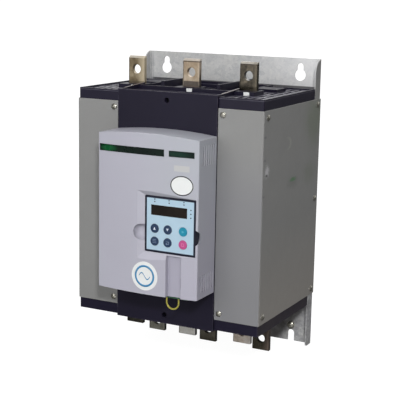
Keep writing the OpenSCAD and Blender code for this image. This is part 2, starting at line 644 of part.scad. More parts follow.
// Bypass bar: from the module's lower terminal down, back and out at the rear
module bypass_bar(i) {
    x = i * phase;
    difference() {
        union() {
            bar_leg(x, bypass_y, low_w, low_t, bypass_end - bypass_off[i + 1], -118, bypass_hole, -1);
            box([x - low_w / 2, -110, -124], [x + low_w / 2, bypass_y + low_t, -118]);
            box([x - low_w / 2, -110, -124], [x + low_w / 2, -104, -30]);
        }
        rod_y(x, -42, -112, -100, 4.4);
    }
}
module line_bar_1() { color([0.65, 0.6, 0.47]) line_bar(-1); }
module line_bar_2() { color([0.65, 0.6, 0.47]) line_bar(0); }
module line_bar_3() { color([0.4, 0.37, 0.31]) line_bar(1); }
module load_bar_1() { color([0.65, 0.6, 0.47]) load_bar(-1); }
module load_bar_2() { color([0.65, 0.6, 0.47]) load_bar(0); }
module load_bar_3() { color([0.65, 0.6, 0.47]) load_bar(1); }
module bypass_bar_1() { color([0.5, 0.46, 0.38]) bypass_bar(-1); }
module bypass_bar_2() { color([0.5, 0.46, 0.38]) bypass_bar(0); }
module bypass_bar_3() { color([0.5, 0.46, 0.38]) bypass_bar(1); }

// Power semiconductor module: base plate, case and two terminal pads
module thyristor_module(i) {
    x = i * phase;
    color([0.2, 0.2, 0.21]) difference() {
        union() {
            box([x - 17, sink_y - 4, -62], [x + 17, sink_y, 48]);
            box([x - 15, sink_y - 30, -52], [x + 15, sink_y - 3.9, 38]);
            for (z = [28, -42]) box([x - 9, sink_y - 34, z - 9], [x + 9, sink_y - 29.9, z + 9]);
        }
        for (z = [28, -42]) rod_y(x, z, sink_y - 40, sink_y - 18, 3.3);
        for (z = [-57.5, 43.5]) rod_y(x, z, sink_y - 6, sink_y + 2, 2.7);
    }
}
module thyristor_module_1() { thyristor_module(-1); }
module thyristor_module_2() { thyristor_module(0); }
module thyristor_module_3() { thyristor_module(1); }

// Hexagon bolts that clamp the bars to the modules
module bar_bolts() {
    color([0.7, 0.7, 0.68]) for (i = [-1 : 1]) {
        translate([i * phase, -115.3, 28]) rotate([-90, 0, 0]) cylinder(r = 6, h = 5.3, $fn = 6);
        rod_y(i * phase, 28, -111, -92, 3);
        translate([i * phase, -121.3, -42]) rotate([-90, 0, 0]) cylinder(r = 6, h = 5.3, $fn = 6);
        rod_y(i * phase, -42, -117, -92, 3);
    }
}

// Cap screws that hold the modules on the heat sink
module module_screws() {
    color([0.3, 0.3, 0.3]) for (i = [-1 : 1], z = [-57.5, 43.5]) difference() {
        union() {
            rod_y(i * phase, z, sink_y - 8, sink_y - 4, 4);
            rod_y(i * phase, z, sink_y - 4.1, sink_y + 8, 2.4);
        }
        translate([i * phase, sink_y - 9, z]) rotate([-90, 0, 0]) cylinder(r = 2.1, h = 3.2, $fn = 6);
    }
}

// Extruded aluminium heat sink: base towards the front, fins back to the plate
module heat_sink() {
    color([0.72, 0.73, 0.74]) difference() {
        translate([0, 0, -108]) linear_extrude(228) union() {
            translate([-132, sink_y]) square([264, 12]);
            for (i = [0 : 24]) translate([-130.6 + i * 10.8, sink_y + 11]) square([2, -plate_t - sink_y - 11]);
        }
        for (i = [-1 : 1], z = [-57.5, 43.5]) rod_y(i * phase, z, sink_y - 1, sink_y + 9, 2.5);
    }
}

// Current transformer round a load bar
module current_transformer(i) {
    x = i * phase;
    color([0.12, 0.12, 0.13]) difference() {
        union() {
            box([x - 28, -149, -110], [x + 28, -111.5, -86]);
            box([x - 10, -156, -104], [x + 10, -148.5, -92]);
        }
        box([x - low_w / 2, bar_y, -115], [x + low_w / 2, bar_y + low_t, -80]);
    }
}
module current_transformer_1() { current_transformer(-1); }
module current_transformer_2() { current_transformer(0); }
module current_transformer_3() { current_transformer(1); }

// Firing board in front of the modules
module driver_board() {
    y = -126;
    color([0.12, 0.3, 0.16]) {
        box([-104, y - 1.6, -26], [104, y, 46]);
        for (i = [-1 : 1]) {
            box([i * phase - 12, y - 13, -20], [i * phase + 12, y - 1.5, -4]);
            box([i * phase - 9, y - 9, 6], [i * phase + 9, y - 1.5, 18]);
        }
        box([-8, y - 14, -20], [14, y - 1.5, -13]);
        // legs down to the modules
        for (i = [-1 : 1], z = [-14, 12]) rod_y(i * phase + 13, z, y - 0.1, sink_y - 30, 1.6);
    }
}

// Flat cable from the control board back to the firing board
module ribbon_cable() {
    color([0.6, 0.6, 0.62]) translate([-6, 0, 0]) rotate([90, 0, 90]) linear_extrude(18) polygon([
        [cy - 8, -2.5], [cy + 20, -2.5], [cy + 40, -13.5], [-140, -15.5], [-140, -16.5],
        [cy + 39.6, -14.5], [cy + 19.6, -3.5], [cy - 8, -3.5]]);
}

// Control supply transformer on the heat sink's upper end
module control_transformer() {
    color([0.35, 0.3, 0.24]) difference() {
        union() {
            box([20, sink_y - 40, 74], [68, sink_y, 114]);
            box([26, sink_y - 48, 79], [62, sink_y - 39.9, 109]);
            box([14, sink_y - 2, 80], [74, sink_y, 108]);
        }
        for (x = [17, 71]) rod_y(x, 94, sink_y - 4, sink_y + 1, 1.8);
    }
}

// ---------------------------------------------------------------- fans

// Square fan frame with its motor cup on four struts
module fan_frame(s) {
    color([0.1, 0.1, 0.11]) translate([s * fan_x, fan_y, fan_z0]) {
        difference() {
            union() {
                difference() {
                    box([-fan_s / 2, -fan_s / 2, 0], [fan_s / 2, fan_s / 2, 25]);
                    box([-fan_s / 2 - 1, -fan_s / 2 + 7, 4], [fan_s / 2 + 1, fan_s / 2 - 7, 21]);
                    box([-fan_s / 2 + 7, -fan_s / 2 - 1, 4], [fan_s / 2 - 7, fan_s / 2 + 1, 21]);
                }
                cylinder(r = fan_s / 2 - 0.2, h = 25, $fn = 96);
            }
            translate([0, 0, -1]) cylinder(r = fan_s / 2 - 1.6, h = 27, $fn = 96);
            for (x = [-20.5, 20.5], y = [-20.5, 20.5]) translate([x, y, -1]) cylinder(r = 2.1, h = 27);
        }
        translate([0, 0, 21.5]) cylinder(r = 13, h = 3.5);
        for (a = [0 : 90 : 270]) rotate([0, 0, a]) box([12, -1.5, 22], [fan_s / 2 - 1.4, 1.5, 25]);
        translate([0, 0, 10.5]) cylinder(r = 1.5, h = 11.5);
    }
}
module fan_frame_left() { fan_frame(-1); }
module fan_frame_right() { fan_frame(1); }

// Fan rotor: hub with seven blades
module fan_rotor(s) {
    color([0.13, 0.13, 0.14]) translate([s * fan_x, fan_y, fan_z0]) {
        difference() {
            union() {
                translate([0, 0, 2]) cylinder(r = 13, h = 18.5);
                intersection() {
                    for (a = [0 : 6]) rotate([0, 0, a * 360 / 7]) translate([19, 0, 11.2])
                        rotate([50, 0, 0]) cube([18, 19, 1.4], center = true);
                    translate([0, 0, 2.5]) cylinder(r = fan_s / 2 - 2.8, h = 17.5, $fn = 96);
                }
            }
            translate([0, 0, 10]) cylinder(r = 1.55, h = 20);
            translate([0, 0, 14]) cylinder(r = 10.5, h = 10);
        }
    }
}
module fan_rotor_left() { fan_rotor(-1); }
module fan_rotor_right() { fan_rotor(1); }

// ---------------------------------------------------------------- fasteners

// Pan head screws of both side panels
module panel_screws() {
    color([0.72, 0.7, 0.62]) {
        for (p = screw_front) translate([p[0], -case_d, p[1]]) pan_screw(4, 2.6, 2, 7);
        for (s = [-1, 1]) {
            for (z = screw_side_f) translate([s * hw, side_fy, z]) rotate([0, 0, s * 90]) pan_screw(4, 2.6, 2, 5);
            for (z = screw_side_r) translate([s * hw, side_ry, z]) rotate([0, 0, s * 90]) pan_screw(4, 2.6, 2, 5);
        }
    }
}

// Black screws sunk in the centre panel
module centre_screws() {
    color([0.06, 0.06, 0.07]) for (z = [frame_top - 9, frame_bottom + 10.6])
        translate([0, cy + 8, z]) pan_screw(3.3, 2.4, 2, 11);
}

// Earth screw with its washer on the back plate
module earth_screw() {
    color([0.8, 0.8, 0.78]) translate([fix_x / 2 - 0.7, -plate_t, -188]) {
        difference() {
            rod_y(0, 0, -1, 0, 6);
            rod_y(0, 0, -2, 1, 2.5);
        }
        translate([0, -1, 0]) pan_screw(4.8, 3, 2.5, 3);
    }
}

back_plate();
left_side_panel();
right_side_panel();
top_frame();
bottom_frame();
centre_panel();
front_cover();
keypad_housing();
keypad_overlay();
display_window();
display_module();
status_leds();
keypad_board();
key_up();
key_down();
key_menu();
key_return();
key_start();
key_stop();
name_strip_left();
name_strip_right();
oval_sticker();
round_sticker();
phase_labels();
control_terminal();
jumper_wire();
control_board();
board_standoffs();
line_bar_1();
line_bar_2();
line_bar_3();
load_bar_1();
load_bar_2();
load_bar_3();
bypass_bar_1();
bypass_bar_2();
bypass_bar_3();
thyristor_module_1();
thyristor_module_2();
thyristor_module_3();
bar_bolts();
module_screws();
heat_sink();
current_transformer_1();
current_transformer_2();
current_transformer_3();
driver_board();
ribbon_cable();
control_transformer();
fan_frame_left();
fan_frame_right();
fan_rotor_left();
fan_rotor_right();
panel_screws();
centre_screws();
earth_screw();
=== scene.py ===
"""Looks of a three-phase motor soft starter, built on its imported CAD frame. Metres; X right, Y back, Z up."""
import math

import bmesh
import bpy
from mathutils import Matrix, Vector


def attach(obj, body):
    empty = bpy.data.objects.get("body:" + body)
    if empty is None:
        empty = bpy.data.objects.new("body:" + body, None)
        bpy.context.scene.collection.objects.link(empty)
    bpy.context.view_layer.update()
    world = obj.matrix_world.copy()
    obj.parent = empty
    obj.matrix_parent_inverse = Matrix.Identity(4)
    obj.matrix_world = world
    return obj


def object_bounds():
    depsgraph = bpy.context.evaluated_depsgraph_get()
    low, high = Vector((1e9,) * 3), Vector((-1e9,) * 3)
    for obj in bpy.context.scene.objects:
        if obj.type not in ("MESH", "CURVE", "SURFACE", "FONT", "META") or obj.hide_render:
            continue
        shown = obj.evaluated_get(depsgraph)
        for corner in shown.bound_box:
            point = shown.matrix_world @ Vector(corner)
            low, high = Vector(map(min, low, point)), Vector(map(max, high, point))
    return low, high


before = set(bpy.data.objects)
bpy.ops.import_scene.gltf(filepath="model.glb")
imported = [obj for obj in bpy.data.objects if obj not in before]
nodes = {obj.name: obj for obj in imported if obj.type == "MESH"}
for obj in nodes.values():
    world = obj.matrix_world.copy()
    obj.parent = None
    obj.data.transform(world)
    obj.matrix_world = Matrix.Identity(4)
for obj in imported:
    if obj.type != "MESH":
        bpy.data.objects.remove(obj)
cad_lo, cad_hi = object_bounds()
scene = bpy.context.scene


# ------------------------------------------------------------------ helpers
def lin(r, g, b):
    """A display colour, 0 to 255, as linear RGBA."""
    out = []
    for c in (r, g, b):
        c /= 255.0
        out.append(c / 12.92 if c <= 0.04045 else ((c + 0.055) / 1.055) ** 2.4)
    return (*out, 1.0)


def tone(c, k):
    return (*(min(1.0, x * k) for x in c[:3]), 1.0)


class Mat:
    """A node material on a Principled shader, in the object's own coordinates."""

    def __init__(self, name, rough=0.5, metal=0.0, spec=0.5, coat=0.0, coat_rough=0.1):
        self.m = bpy.data.materials.new(name)
        self.m.use_nodes = True
        self.t = self.m.node_tree
        self.t.nodes.clear()
        self.out = self.n("OutputMaterial")
        self.b = self.n("BsdfPrincipled")
        self.l(self.b.outputs[0], self.out.inputs[0])
        self.b.inputs["Roughness"].default_value = rough
        self.b.inputs["Metallic"].default_value = metal
        self.b.inputs["Specular IOR Level"].default_value = spec
        self.b.inputs["Coat Weight"].default_value = coat
        self.b.inputs["Coat Roughness"].default_value = coat_rough
        self.co = self.n("TexCoord").outputs["Object"]
        self.xyz = None

    def n(self, kind, **kw):
        x = self.t.nodes.new("ShaderNode" + kind)
        for k, v in kw.items():
            setattr(x, k, v)
        return x

    def l(self, a, b):
        self.t.links.new(a, b)

    def put(self, v, socket):
        if isinstance(v, (int, float)):
            socket.default_value = v
        elif isinstance(v, tuple):
            socket.default_value = v
        else:
            self.l(v, socket)

    def axis(self, i):
        if self.xyz is None:
            self.xyz = self.n("SeparateXYZ")
            self.l(self.co, self.xyz.inputs[0])
        return self.xyz.outputs[i]

    def math(self, op, a, b=None, c=None, clamp=False):
        x = self.n("Math", operation=op, use_clamp=clamp)
        for i, v in enumerate((a, b, c)):
            if v is not None:
                self.put(v, x.inputs[i])
        return x.outputs[0]

    def stretched(self, s, turn=(0, 0, 0), move=(0, 0, 0)):
        x = self.n("Mapping")
        x.inputs["Scale"].default_value = s
        x.inputs["Rotation"].default_value = turn
        x.inputs["Location"].default_value = move
        self.l(self.co, x.inputs[0])
        return x.outputs[0]

    def noise(self, scale, detail=3.0, rough=0.55, co=None, warp=0.0):
        x = self.n("TexNoise")
        x.inputs["Scale"].default_value = scale
        x.inputs["Detail"].default_value = detail
        x.inputs["Roughness"].default_value = rough
        x.inputs["Distortion"].default_value = warp
        self.l(co or self.co, x.inputs["Vector"])
        return x.outputs["Fac"]

    def cells(self, scale, co=None, what="Color"):
        x = self.n("TexVoronoi")
        x.inputs["Scale"].default_value = scale
        self.l(co or self.co, x.inputs["Vector"])
        return x.outputs[what]

    def remap(self, v, a, b, c, d, smooth=False):
        x = self.n("MapRange", interpolation_type="SMOOTHSTEP" if smooth else "LINEAR")
        self.put(v, x.inputs["Value"])
        for k, w in zip(("From Min", "From Max", "To Min", "To Max"), (a, b, c, d)):
            x.inputs[k].default_value = w
        return x.outputs["Result"]

    def mix(self, f, a, b, kind="MIX"):
        x = self.n("Mix", data_type="RGBA", blend_type=kind)
        self.put(f, x.inputs[0])
        self.put(a, x.inputs[6])
        self.put(b, x.inputs[7])
        return x.outputs[2]

    def ramp(self, f, *stops):
        x = self.n("ValToRGB")
        e = x.color_ramp.elements
        while len(e) < len(stops):
            e.new(0.5)
        for el, (p, c) in zip(e, stops):
            el.position, el.color = p, c
        self.l(f, x.inputs[0])
        return x.outputs[0]

    def bump(self, h, strength, depth, base=None):
        x = self.n("Bump")
        x.inputs["Strength"].default_value = strength
        x.inputs["Distance"].default_value = depth
        self.l(h, x.inputs["Height"])
        if base is not None:
            self.l(base, x.inputs["Normal"])
        return x.outputs[0]

    def blob(self, i, a, ra, j, b, rb, edge=0.4, ragged=0.0, scale=600):
        """1 inside an ellipse on the axes i and j, 0 outside, with a soft and ragged rim."""
        u = self.math("DIVIDE", self.math("SUBTRACT", self.axis(i), a), ra)
        v = self.math("DIVIDE", self.math("SUBTRACT", self.axis(j), b), rb)
        d = self.math("SQRT", self.math("ADD", self.math("MULTIPLY", u, u), self.math("MULTIPLY", v, v)))
        if ragged:
            d = self.math("ADD", d, self.remap(self.noise(scale, 3), 0.3, 0.7, -ragged, ragged))
        return self.remap(d, 1 - edge, 1 + edge, 1.0, 0.0, True)

    def near(self, i, *at, width=0.0016):
        """1 on the planes given on axis i, 0 beyond the width."""
        best = None
        for a in at:
            d = self.math("ABSOLUTE", self.math("SUBTRACT", self.axis(i), a))
            best = d if best is None else self.math("MINIMUM", best, d)
        return self.remap(best, 0.0, width, 1.0, 0.0)

    def edges(self, *pairs, width=0.0016, scale=160, low=0.45, high=0.62):
        """A patchy mask along edges, for rubbing and for painted edge highlights: each pair is ((axis, places), (axis,
        places)) of the faces that meet there.
        """
        total = None
        for (i, a), (j, b) in pairs:
            e = self.math("MULTIPLY", self.near(i, *a, width=width), self.near(j, *b, width=width))
            total = e if total is None else self.math("MAXIMUM", total, e)
        patchy = self.remap(self.noise(scale, 4, 0.65), low, high, 0.15, 1.0)
        return self.math("MULTIPLY", total, patchy, clamp=True)

    def inside(self, i, a, b, soft=0.0006):
        """1 between the planes a and b on axis i."""
        up = self.remap(self.axis(i), a - soft, a + soft, 0.0, 1.0, True)
        down = self.remap(self.axis(i), b - soft, b + soft, 1.0, 0.0, True)
        return self.math("MULTIPLY", up, down)

    def colour(self, v):
        self.put(v, self.b.inputs["Base Color"])

    def rough(self, v):
        self.put(v, self.b.inputs["Roughness"])

    def normal(self, v):
        self.l(v, self.b.inputs["Normal"])


def wear(m, base, dark, light, big=14, fine=260):
    """A base colour with broad clouds and a fine mottle."""
    c = m.ramp(m.noise(big, 4, 0.6), (0.3, dark), (0.5, base), (0.72, light))
    f = m.remap(m.noise(fine, 3), 0.3, 0.7, 0.0, 1.0)
    return m.mix(m.math("MULTIPLY", f, 0.25), c, dark)


def moulded(name, c, rough=0.45, grain=2200, depth=0.00004, strength=0.35, vary=0.07, spec=0.5, tint=None,
            rub=(), rub_and_highlight_colour=None, extra=None):
    """Moulded plastic: fine spark-eroded grain, slight clouds, and lighter edges that are handling polish and painted
    edge highlight.
    """
    m = Mat(name, rough, 0.0, spec)
    base = wear(m, c, tone(c, 1 - vary), tone(c, 1 + vary), 9, 420)
    if tint:
        base = m.mix(m.remap(m.noise(5, 2), 0.42, 0.68, 0.0, 0.6), base, tint)
    if extra:
        base = extra(m, base)
    # lighter edges: handling polish and painted edge highlight
    if rub:
        base = m.mix(m.math("MULTIPLY", m.edges(*rub), 0.55), base, rub_and_highlight_colour or tone(c, 1.6))
    m.colour(base)
    m.rough(m.remap(m.noise(30, 4), 0.3, 0.7, rough - 0.06, rough + 0.08))
    m.normal(m.bump(m.noise(grain, 2, 0.5), strength, depth))
    return m


def painted(name, c, side, rough=0.42, marks=False):
    """Stoved paint on sheet steel: orange peel, faint clouds, dust, small scuffs and rubbed edges; with marks, also
    painted light low on the side face and painted shade low on the front face.
    """
    m = Mat(name, rough, 0.0, 0.5)
    base = wear(m, c, tone(c, 0.93), tone(c, 1.05), 7, 300)
    speck = m.remap(m.noise(900, 2, 0.6), 0.70, 0.76, 0.0, 1.0)
    base = m.mix(m.math("MULTIPLY", speck, 0.35), base, tone(c, 0.6))
    # long faint wipes down the sheet
    wipe = m.noise(1.0, 3, 0.6, m.stretched((160, 160, 7)))
    base = m.mix(m.remap(wipe, 0.55, 0.75, 0.0, 0.07), base, tone(c, 1.12))
    x0, x1 = side * 0.0763, side * 0.1425
    rub = m.edges(((0, (x1,)), (1, (-0.198,))), ((2, (-0.1325, 0.1558)), (1, (-0.198,))),
                  ((2, (-0.1325, 0.1558)), (0, (x1,))), ((0, (x0,)), (1, (-0.198,))), width=0.0013)
    base = m.mix(m.math("MULTIPLY", rub, 0.5), base, lin(176, 175, 170))
    if marks:
        side_face = m.remap(m.axis(0), 0.1418, 0.1422, 0.0, 1.0)
        front_face = m.remap(m.axis(1), -0.1975, -0.1968, 1.0, 0.0)
        # painted light: the side face lighter and warmer towards the bottom
        base = m.mix(m.math("MULTIPLY", side_face, m.remap(m.axis(2), 0.0, -0.12, 0.0, 0.9)), base, lin(150, 146, 141))
        # painted shade: the front face darker towards the bottom
        base = m.mix(m.math("MULTIPLY", front_face, m.remap(m.axis(2), 0.11, 0.03, 0.0, 0.75)), base, lin(131, 131, 135))
        tint1 = m.blob(1, -0.020, 0.030, 2, 0.128, 0.030, 0.8, 0.3, 90)
        base = m.mix(m.math("MULTIPLY", m.math("MULTIPLY", tint1, side_face), 0.7), base, lin(120, 127, 112))
        tint2 = m.blob(1, -0.036, 0.018, 2, 0.054, 0.013, 0.8, 0.3, 120)
        base = m.mix(m.math("MULTIPLY", m.math("MULTIPLY", tint2, side_face), 0.45), base, lin(119, 125, 113))
        pale = m.blob(1, -0.1845, 0.0062, 2, 0.0755, 0.0070, 0.5, 0.5, 420)
        base = m.mix(m.math("MULTIPLY", m.math("MULTIPLY", pale, side_face), 0.8), base, lin(196, 195, 198))
        dot = m.blob(1, -0.1850, 0.0030, 2, 0.0702, 0.0017, 0.5, 0.2, 900)
        base = m.mix(m.math("MULTIPLY", m.math("MULTIPLY", dot, side_face), 0.85), base, lin(48, 46, 48))
        grey = m.blob(1, -0.094, 0.0150, 2, 0.0480, 0.0062, 0.8, 0.4, 160)
        base = m.mix(m.math("MULTIPLY", grey, 0.5), base, lin(114, 116, 112))
        green = m.blob(1, -0.095, 0.0100, 2, 0.0524, 0.0024, 0.5, 0.4, 260)
        base = m.mix(m.math("MULTIPLY", green, 0.7), base, lin(78, 128, 84))
        ring = m.math("SUBTRACT", m.blob(1, -0.117, 0.0125, 2, 0.105, 0.0085, 0.15, 0.1, 500),
                      m.blob(1, -0.1215, 0.0125, 2, 0.105, 0.0078, 0.15, 0.1, 500), clamp=True)
        base = m.mix(m.math("MULTIPLY", m.math("MULTIPLY", ring, side_face), 0.6), base, lin(164, 166, 158))
        for z0, k in ((0.1215, 0.5), (0.0910, 0.4), (0.0430, 0.45)):
            nick = m.blob(1, -0.1925, 0.0036, 2, z0, 0.0016, 0.6, 0.4, 500)
            base = m.mix(m.math("MULTIPLY", m.math("MULTIPLY", nick, side_face), k), base, lin(88, 88, 92))
    m.colour(base)
    m.rough(m.remap(m.noise(45, 4), 0.3, 0.7, rough - 0.07, rough + 0.10))
    m.normal(m.bump(m.noise(650, 2, 0.45), 0.25, 0.00005))
    return m


def galvanised(name):
    """Hot-dip zinc: soft clouded spangles of several sizes, white bloom, small dark pits and wipe marks; also painted
    light and shade: darker to the left, a painted light patch high on the right, a painted shadow of the body low down,
    a painted shadow line above the frame, painted shade along the bends at the left flange and on the right flange.
    """
    m = Mat(name, 0.46, 0.22, 0.5)
    warp = m.n("VectorMath", operation="ADD")
    nz = m.n("TexNoise")
    nz.inputs["Scale"].default_value = 60
    nz.inputs["Detail"].default_value = 4
    m.l(m.co, nz.inputs["Vector"])
    half = m.n("VectorMath", operation="SCALE")
    half.inputs["Scale"].default_value = 0.02
    m.l(nz.outputs["Color"], half.inputs[0])
    m.l(m.co, warp.inputs[0])
    m.l(half.outputs[0], warp.inputs[1])
    big = m.n("SeparateColor")
    m.l(m.cells(150, warp.outputs[0]), big.inputs[0])
    small = m.n("SeparateColor")
    m.l(m.cells(520, warp.outputs[0]), small.inputs[0])
    clouds = m.noise(38, 6, 0.62)
    shade = m.math("ADD", m.math("MULTIPLY", big.outputs[0], 0.30), m.math("MULTIPLY", small.outputs[0], 0.22))
    shade = m.math("ADD", shade, m.math("MULTIPLY", clouds, 0.48))
    c = m.ramp(shade, (0.22, lin(186, 188, 191)), (0.48, lin(204, 205, 206)), (0.75, lin(219, 219, 218)))
    bloom = m.remap(m.noise(17, 5, 0.62), 0.5, 0.74, 0.0, 0.5)
    c = m.mix(bloom, c, lin(222, 221, 216))
    pit = m.remap(m.noise(330, 3, 0.6), 0.64, 0.76, 0.0, 0.45)
    c = m.mix(pit, c, lin(146, 148, 150))
    streak = m.remap(m.noise(1.0, 4, 0.6, m.stretched((90, 90, 9), (0, 0.35, 0))), 0.56, 0.72, 0.0, 0.22)
    c = m.mix(streak, c, lin(176, 179, 184))
    rub = m.edges(((0, (-0.141, 0.141)), (1, (-0.018, -0.002))), ((2, (-0.212, 0.212)), (1, (-0.002, 0.0))), width=0.0012)
    c = m.mix(m.math("MULTIPLY", rub, 0.6), c, lin(150, 152, 154))
    # painted shade: the plate darker towards the left
    c = m.mix(m.remap(m.axis(0), -0.14, 0.13, 0.22, 0.0), c, lin(150, 148, 144))
    # painted light: a bright patch high on the right of the plate
    high = m.remap(m.axis(2), 0.05, 0.12, 0.0, 1.0)
    c = m.mix(m.math("MULTIPLY", m.remap(m.axis(0), 0.02, 0.12, 0.0, 0.55), m.math("MULTIPLY", high, m.remap(m.axis(0), 0.132, 0.138, 1.0, 0.0))), c, lin(242, 242, 243))
    low = m.math("MULTIPLY", m.remap(m.axis(2), -0.14, -0.10, 1.0, 0.0), m.remap(m.noise(160, 5, 0.7), 0.40, 0.64, 0.0, 0.6))
    c = m.mix(low, c, lin(136, 134, 142))
    # painted shadow of the body, low on the plate near the bars
    body_shadow = m.math("SUBTRACT", m.axis(0), m.math("MULTIPLY", m.math("ADD", m.axis(2), 0.2), 0.72))
    body_shadow = m.math("MULTIPLY", m.remap(body_shadow, 0.092, 0.114, 0.9, 0.0), m.remap(m.axis(2), -0.150, -0.138, 1.0, 0.0))
    c = m.mix(m.math("MULTIPLY", body_shadow, m.remap(m.noise(60, 3), 0.3, 0.65, 0.85, 1.0)), c, lin(76, 72, 70))
    # painted shadow line on the plate just above the frame
    frame_shadow_line = m.math("MULTIPLY", m.inside(2, 0.160, 0.1720, 0.0004), m.inside(0, -0.134, 0.134, 0.004))
    c = m.mix(m.math("MULTIPLY", frame_shadow_line, 0.85), c, lin(44, 42, 50))
    # painted shade along the bend lines at the left flange, high up
    for x0, k in ((-0.1370, 0.6), (-0.1336, 0.3)):
        bend_shade = m.math("MULTIPLY", m.inside(0, x0, x0 + 0.0009, 0.0003), m.remap(m.noise(90, 3), 0.35, 0.6, 0.4, 1.0))
        c = m.mix(m.math("MULTIPLY", bend_shade, m.math("MULTIPLY", high, k)), c, lin(74, 76, 88))
    # painted shade on the right flange, heavier towards the top
    flank_shade = m.math("MULTIPLY", m.remap(m.axis(0), 0.1400, 0.1408, 0.0, 1.0), m.remap(m.axis(2), -0.12, 0.12, 0.15, 0.85))
    c = m.mix(flank_shade, c, lin(132, 132, 130))
    m.colour(c)
    r = m.math("ADD", m.math("MULTIPLY", big.outputs[1], 0.12), 0.40)
    m.rough(m.math("ADD", r, m.math("MULTIPLY", bloom, 0.2)))
    m.normal(m.bump(m.math("ADD", m.math("MULTIPLY", shade, 0.6), m.noise(700, 2)), 0.22, 0.00006))
    return m


def plated(name, c, dark, light, place, seed=0.0, rough=0.36, metal=0.4, scratch=0.4, turn="z", extra=None, edge=0.8):
    """Tin-plated copper, brushed along its length, with tarnish clouds, scratches and stains, bright edges from rubbing
    and painted highlight, and painted shade on the left edge and low on the right side face.
    place is (x, half width, front y, tip z) of the bar's end."""
    m = Mat(name, rough, metal, 0.5)
    streak_scale = (520, 520, 14) if turn == "z" else (14, 520, 520)
    streak = m.noise(1.0, 4, 0.65, m.stretched(streak_scale, move=(seed, seed * 2, seed)))
    cloud = m.noise(75, 5, 0.62, m.stretched((1, 1, 1), move=(seed, 0, seed)))
    base = m.ramp(cloud, (0.32, dark), (0.5, c), (0.70, light))
    base = m.mix(m.remap(streak, 0.35, 0.65, 0.0, 0.55), base, m.mix(0.5, base, dark))
    scr = m.remap(m.noise(1.0, 3, 0.6, m.stretched((900, 900, 60), (0.3, 0.5, 0.9), (seed, 3, 1))), 0.62, 0.68, 0.0, scratch)
    base = m.mix(scr, base, light)
    x, hw, y, tip = place
    # painted shade on the left edge, painted highlight on the right edge, painted shade low on the right side face
    base = m.mix(m.math("MULTIPLY", m.inside(0, x - hw - 0.001, x - hw + 0.0016, 0.0003), 0.88), base, tone(dark, 0.35))
    bright = m.remap(m.noise(130, 3), 0.35, 0.6, 0.25, 0.9)
    base = m.mix(m.math("MULTIPLY", m.inside(0, x + hw - 0.0026, x + hw - 0.0008, 0.0004), m.math("MULTIPLY", bright, edge)), base, light)
    flank_shade = m.math("MULTIPLY", m.inside(0, x + hw - 0.00025, x + hw + 0.001, 0.0001), m.remap(m.axis(2), 0.187, 0.201, 0.97, 0.3))
    base = m.mix(flank_shade, base, tone(dark, 0.22))
    if extra:
        base = extra(m, base)
    # rubbing and painted highlight along the front edges and the tip
    rub = m.edges(((0, (x - hw, x + hw)), (1, (y,))), ((2, (tip,)), (1, (y, y + 0.0017))),
                  ((2, (tip,)), (0, (x - hw, x + hw))), width=0.0011, scale=240, low=0.35, high=0.55)
    base = m.mix(m.math("MULTIPLY", rub, 0.7), base, tone(light, 1.15))
    m.colour(base)
    m.rough(m.math("ADD", m.remap(streak, 0.3, 0.7, rough - 0.08, rough + 0.12), m.remap(cloud, 0.3, 0.7, 0.08, -0.05)))
    m.normal(m.bump(streak, 0.18, 0.00006))
    return m


def metal(name, c, rough=0.3, scale=900, vary=0.12, metallic=0.9, stretch=(1, 1, 1)):
    m = Mat(name, rough, metallic, 0.5)
    f = m.noise(scale, 3, 0.6, m.stretched(stretch))
    m.colour(m.ramp(f, (0.3, tone(c, 1 - vary)), (0.55, c), (0.75, tone(c, 1 + vary))))
    m.rough(m.remap(m.noise(scale * 0.4, 4), 0.3, 0.7, rough - 0.08, rough + 0.10))
    m.normal(m.bump(f, 0.15, 0.00004))
    return m


def board(name):
    """Solder mask over copper: tracks, pads and the bare glass cloth's tone."""
    m = Mat(name, 0.32, 0.0, 0.5, 0.25, 0.12)
    track = m.n("TexBrick")
    track.inputs["Scale"].default_value = 130
    track.inputs["Mortar Size"].default_value = 0.06
    track.inputs["Mortar Smooth"].default_value = 0.1
    track.inputs["Color1"].default_value = lin(22, 92, 50)
    track.inputs["Color2"].default_value = lin(17, 78, 43)
    track.inputs["Mortar"].default_value = lin(60, 132, 78)
    flat = m.n("CombineXYZ")
    m.l(m.axis(0), flat.inputs[0])
    m.l(m.axis(2), flat.inputs[1])
    m.l(flat.outputs[0], track.inputs["Vector"])
    pad = m.remap(m.cells(330, None, "Distance"), 0.10, 0.13, 1.0, 0.0)
    c = m.mix(m.math("MULTIPLY", pad, m.remap(m.noise(60, 2), 0.5, 0.56, 0.0, 1.0)), track.outputs["Color"], lin(196, 186, 150))
    m.colour(c)
    m.rough(m.remap(m.noise(120, 3), 0.3, 0.7, 0.25, 0.42))
    m.normal(m.bump(track.outputs["Fac"], 0.2, 0.00003))
    return m


def clean(o, weld=2e-6):
    """The modifiers that make a tessellated CAD mesh whole and flat-faced again before its edges are rounded."""
    w = o.modifiers.new("weld", "WELD")
    w.merge_threshold = weld
    d = o.modifiers.new("flat", "DECIMATE")
    d.decimate_type = "DISSOLVE"
    d.angle_limit = math.radians(0.3)


def soften(node, width, segments=2, angle=32):
    """Rounds a CAD node's edges with modifiers; its own mesh stays as packed."""
    o = nodes[node]
    clean(o)
    b = o.modifiers.new("round", "BEVEL")
    b.width = width
    b.segments = segments
    b.limit_method = "ANGLE"
    b.angle_limit = math.radians(angle)
    b.use_clamp_overlap = True
    b.miter_outer = "MITER_ARC"
    w = o.modifiers.new("normals", "WEIGHTED_NORMAL")
    w.keep_sharp = True
    w.weight = 80
    return o


def give(mat, *names):
    for n in names:
        o = nodes[n]
        o.data.materials.clear()
        o.data.materials.append(mat.m)


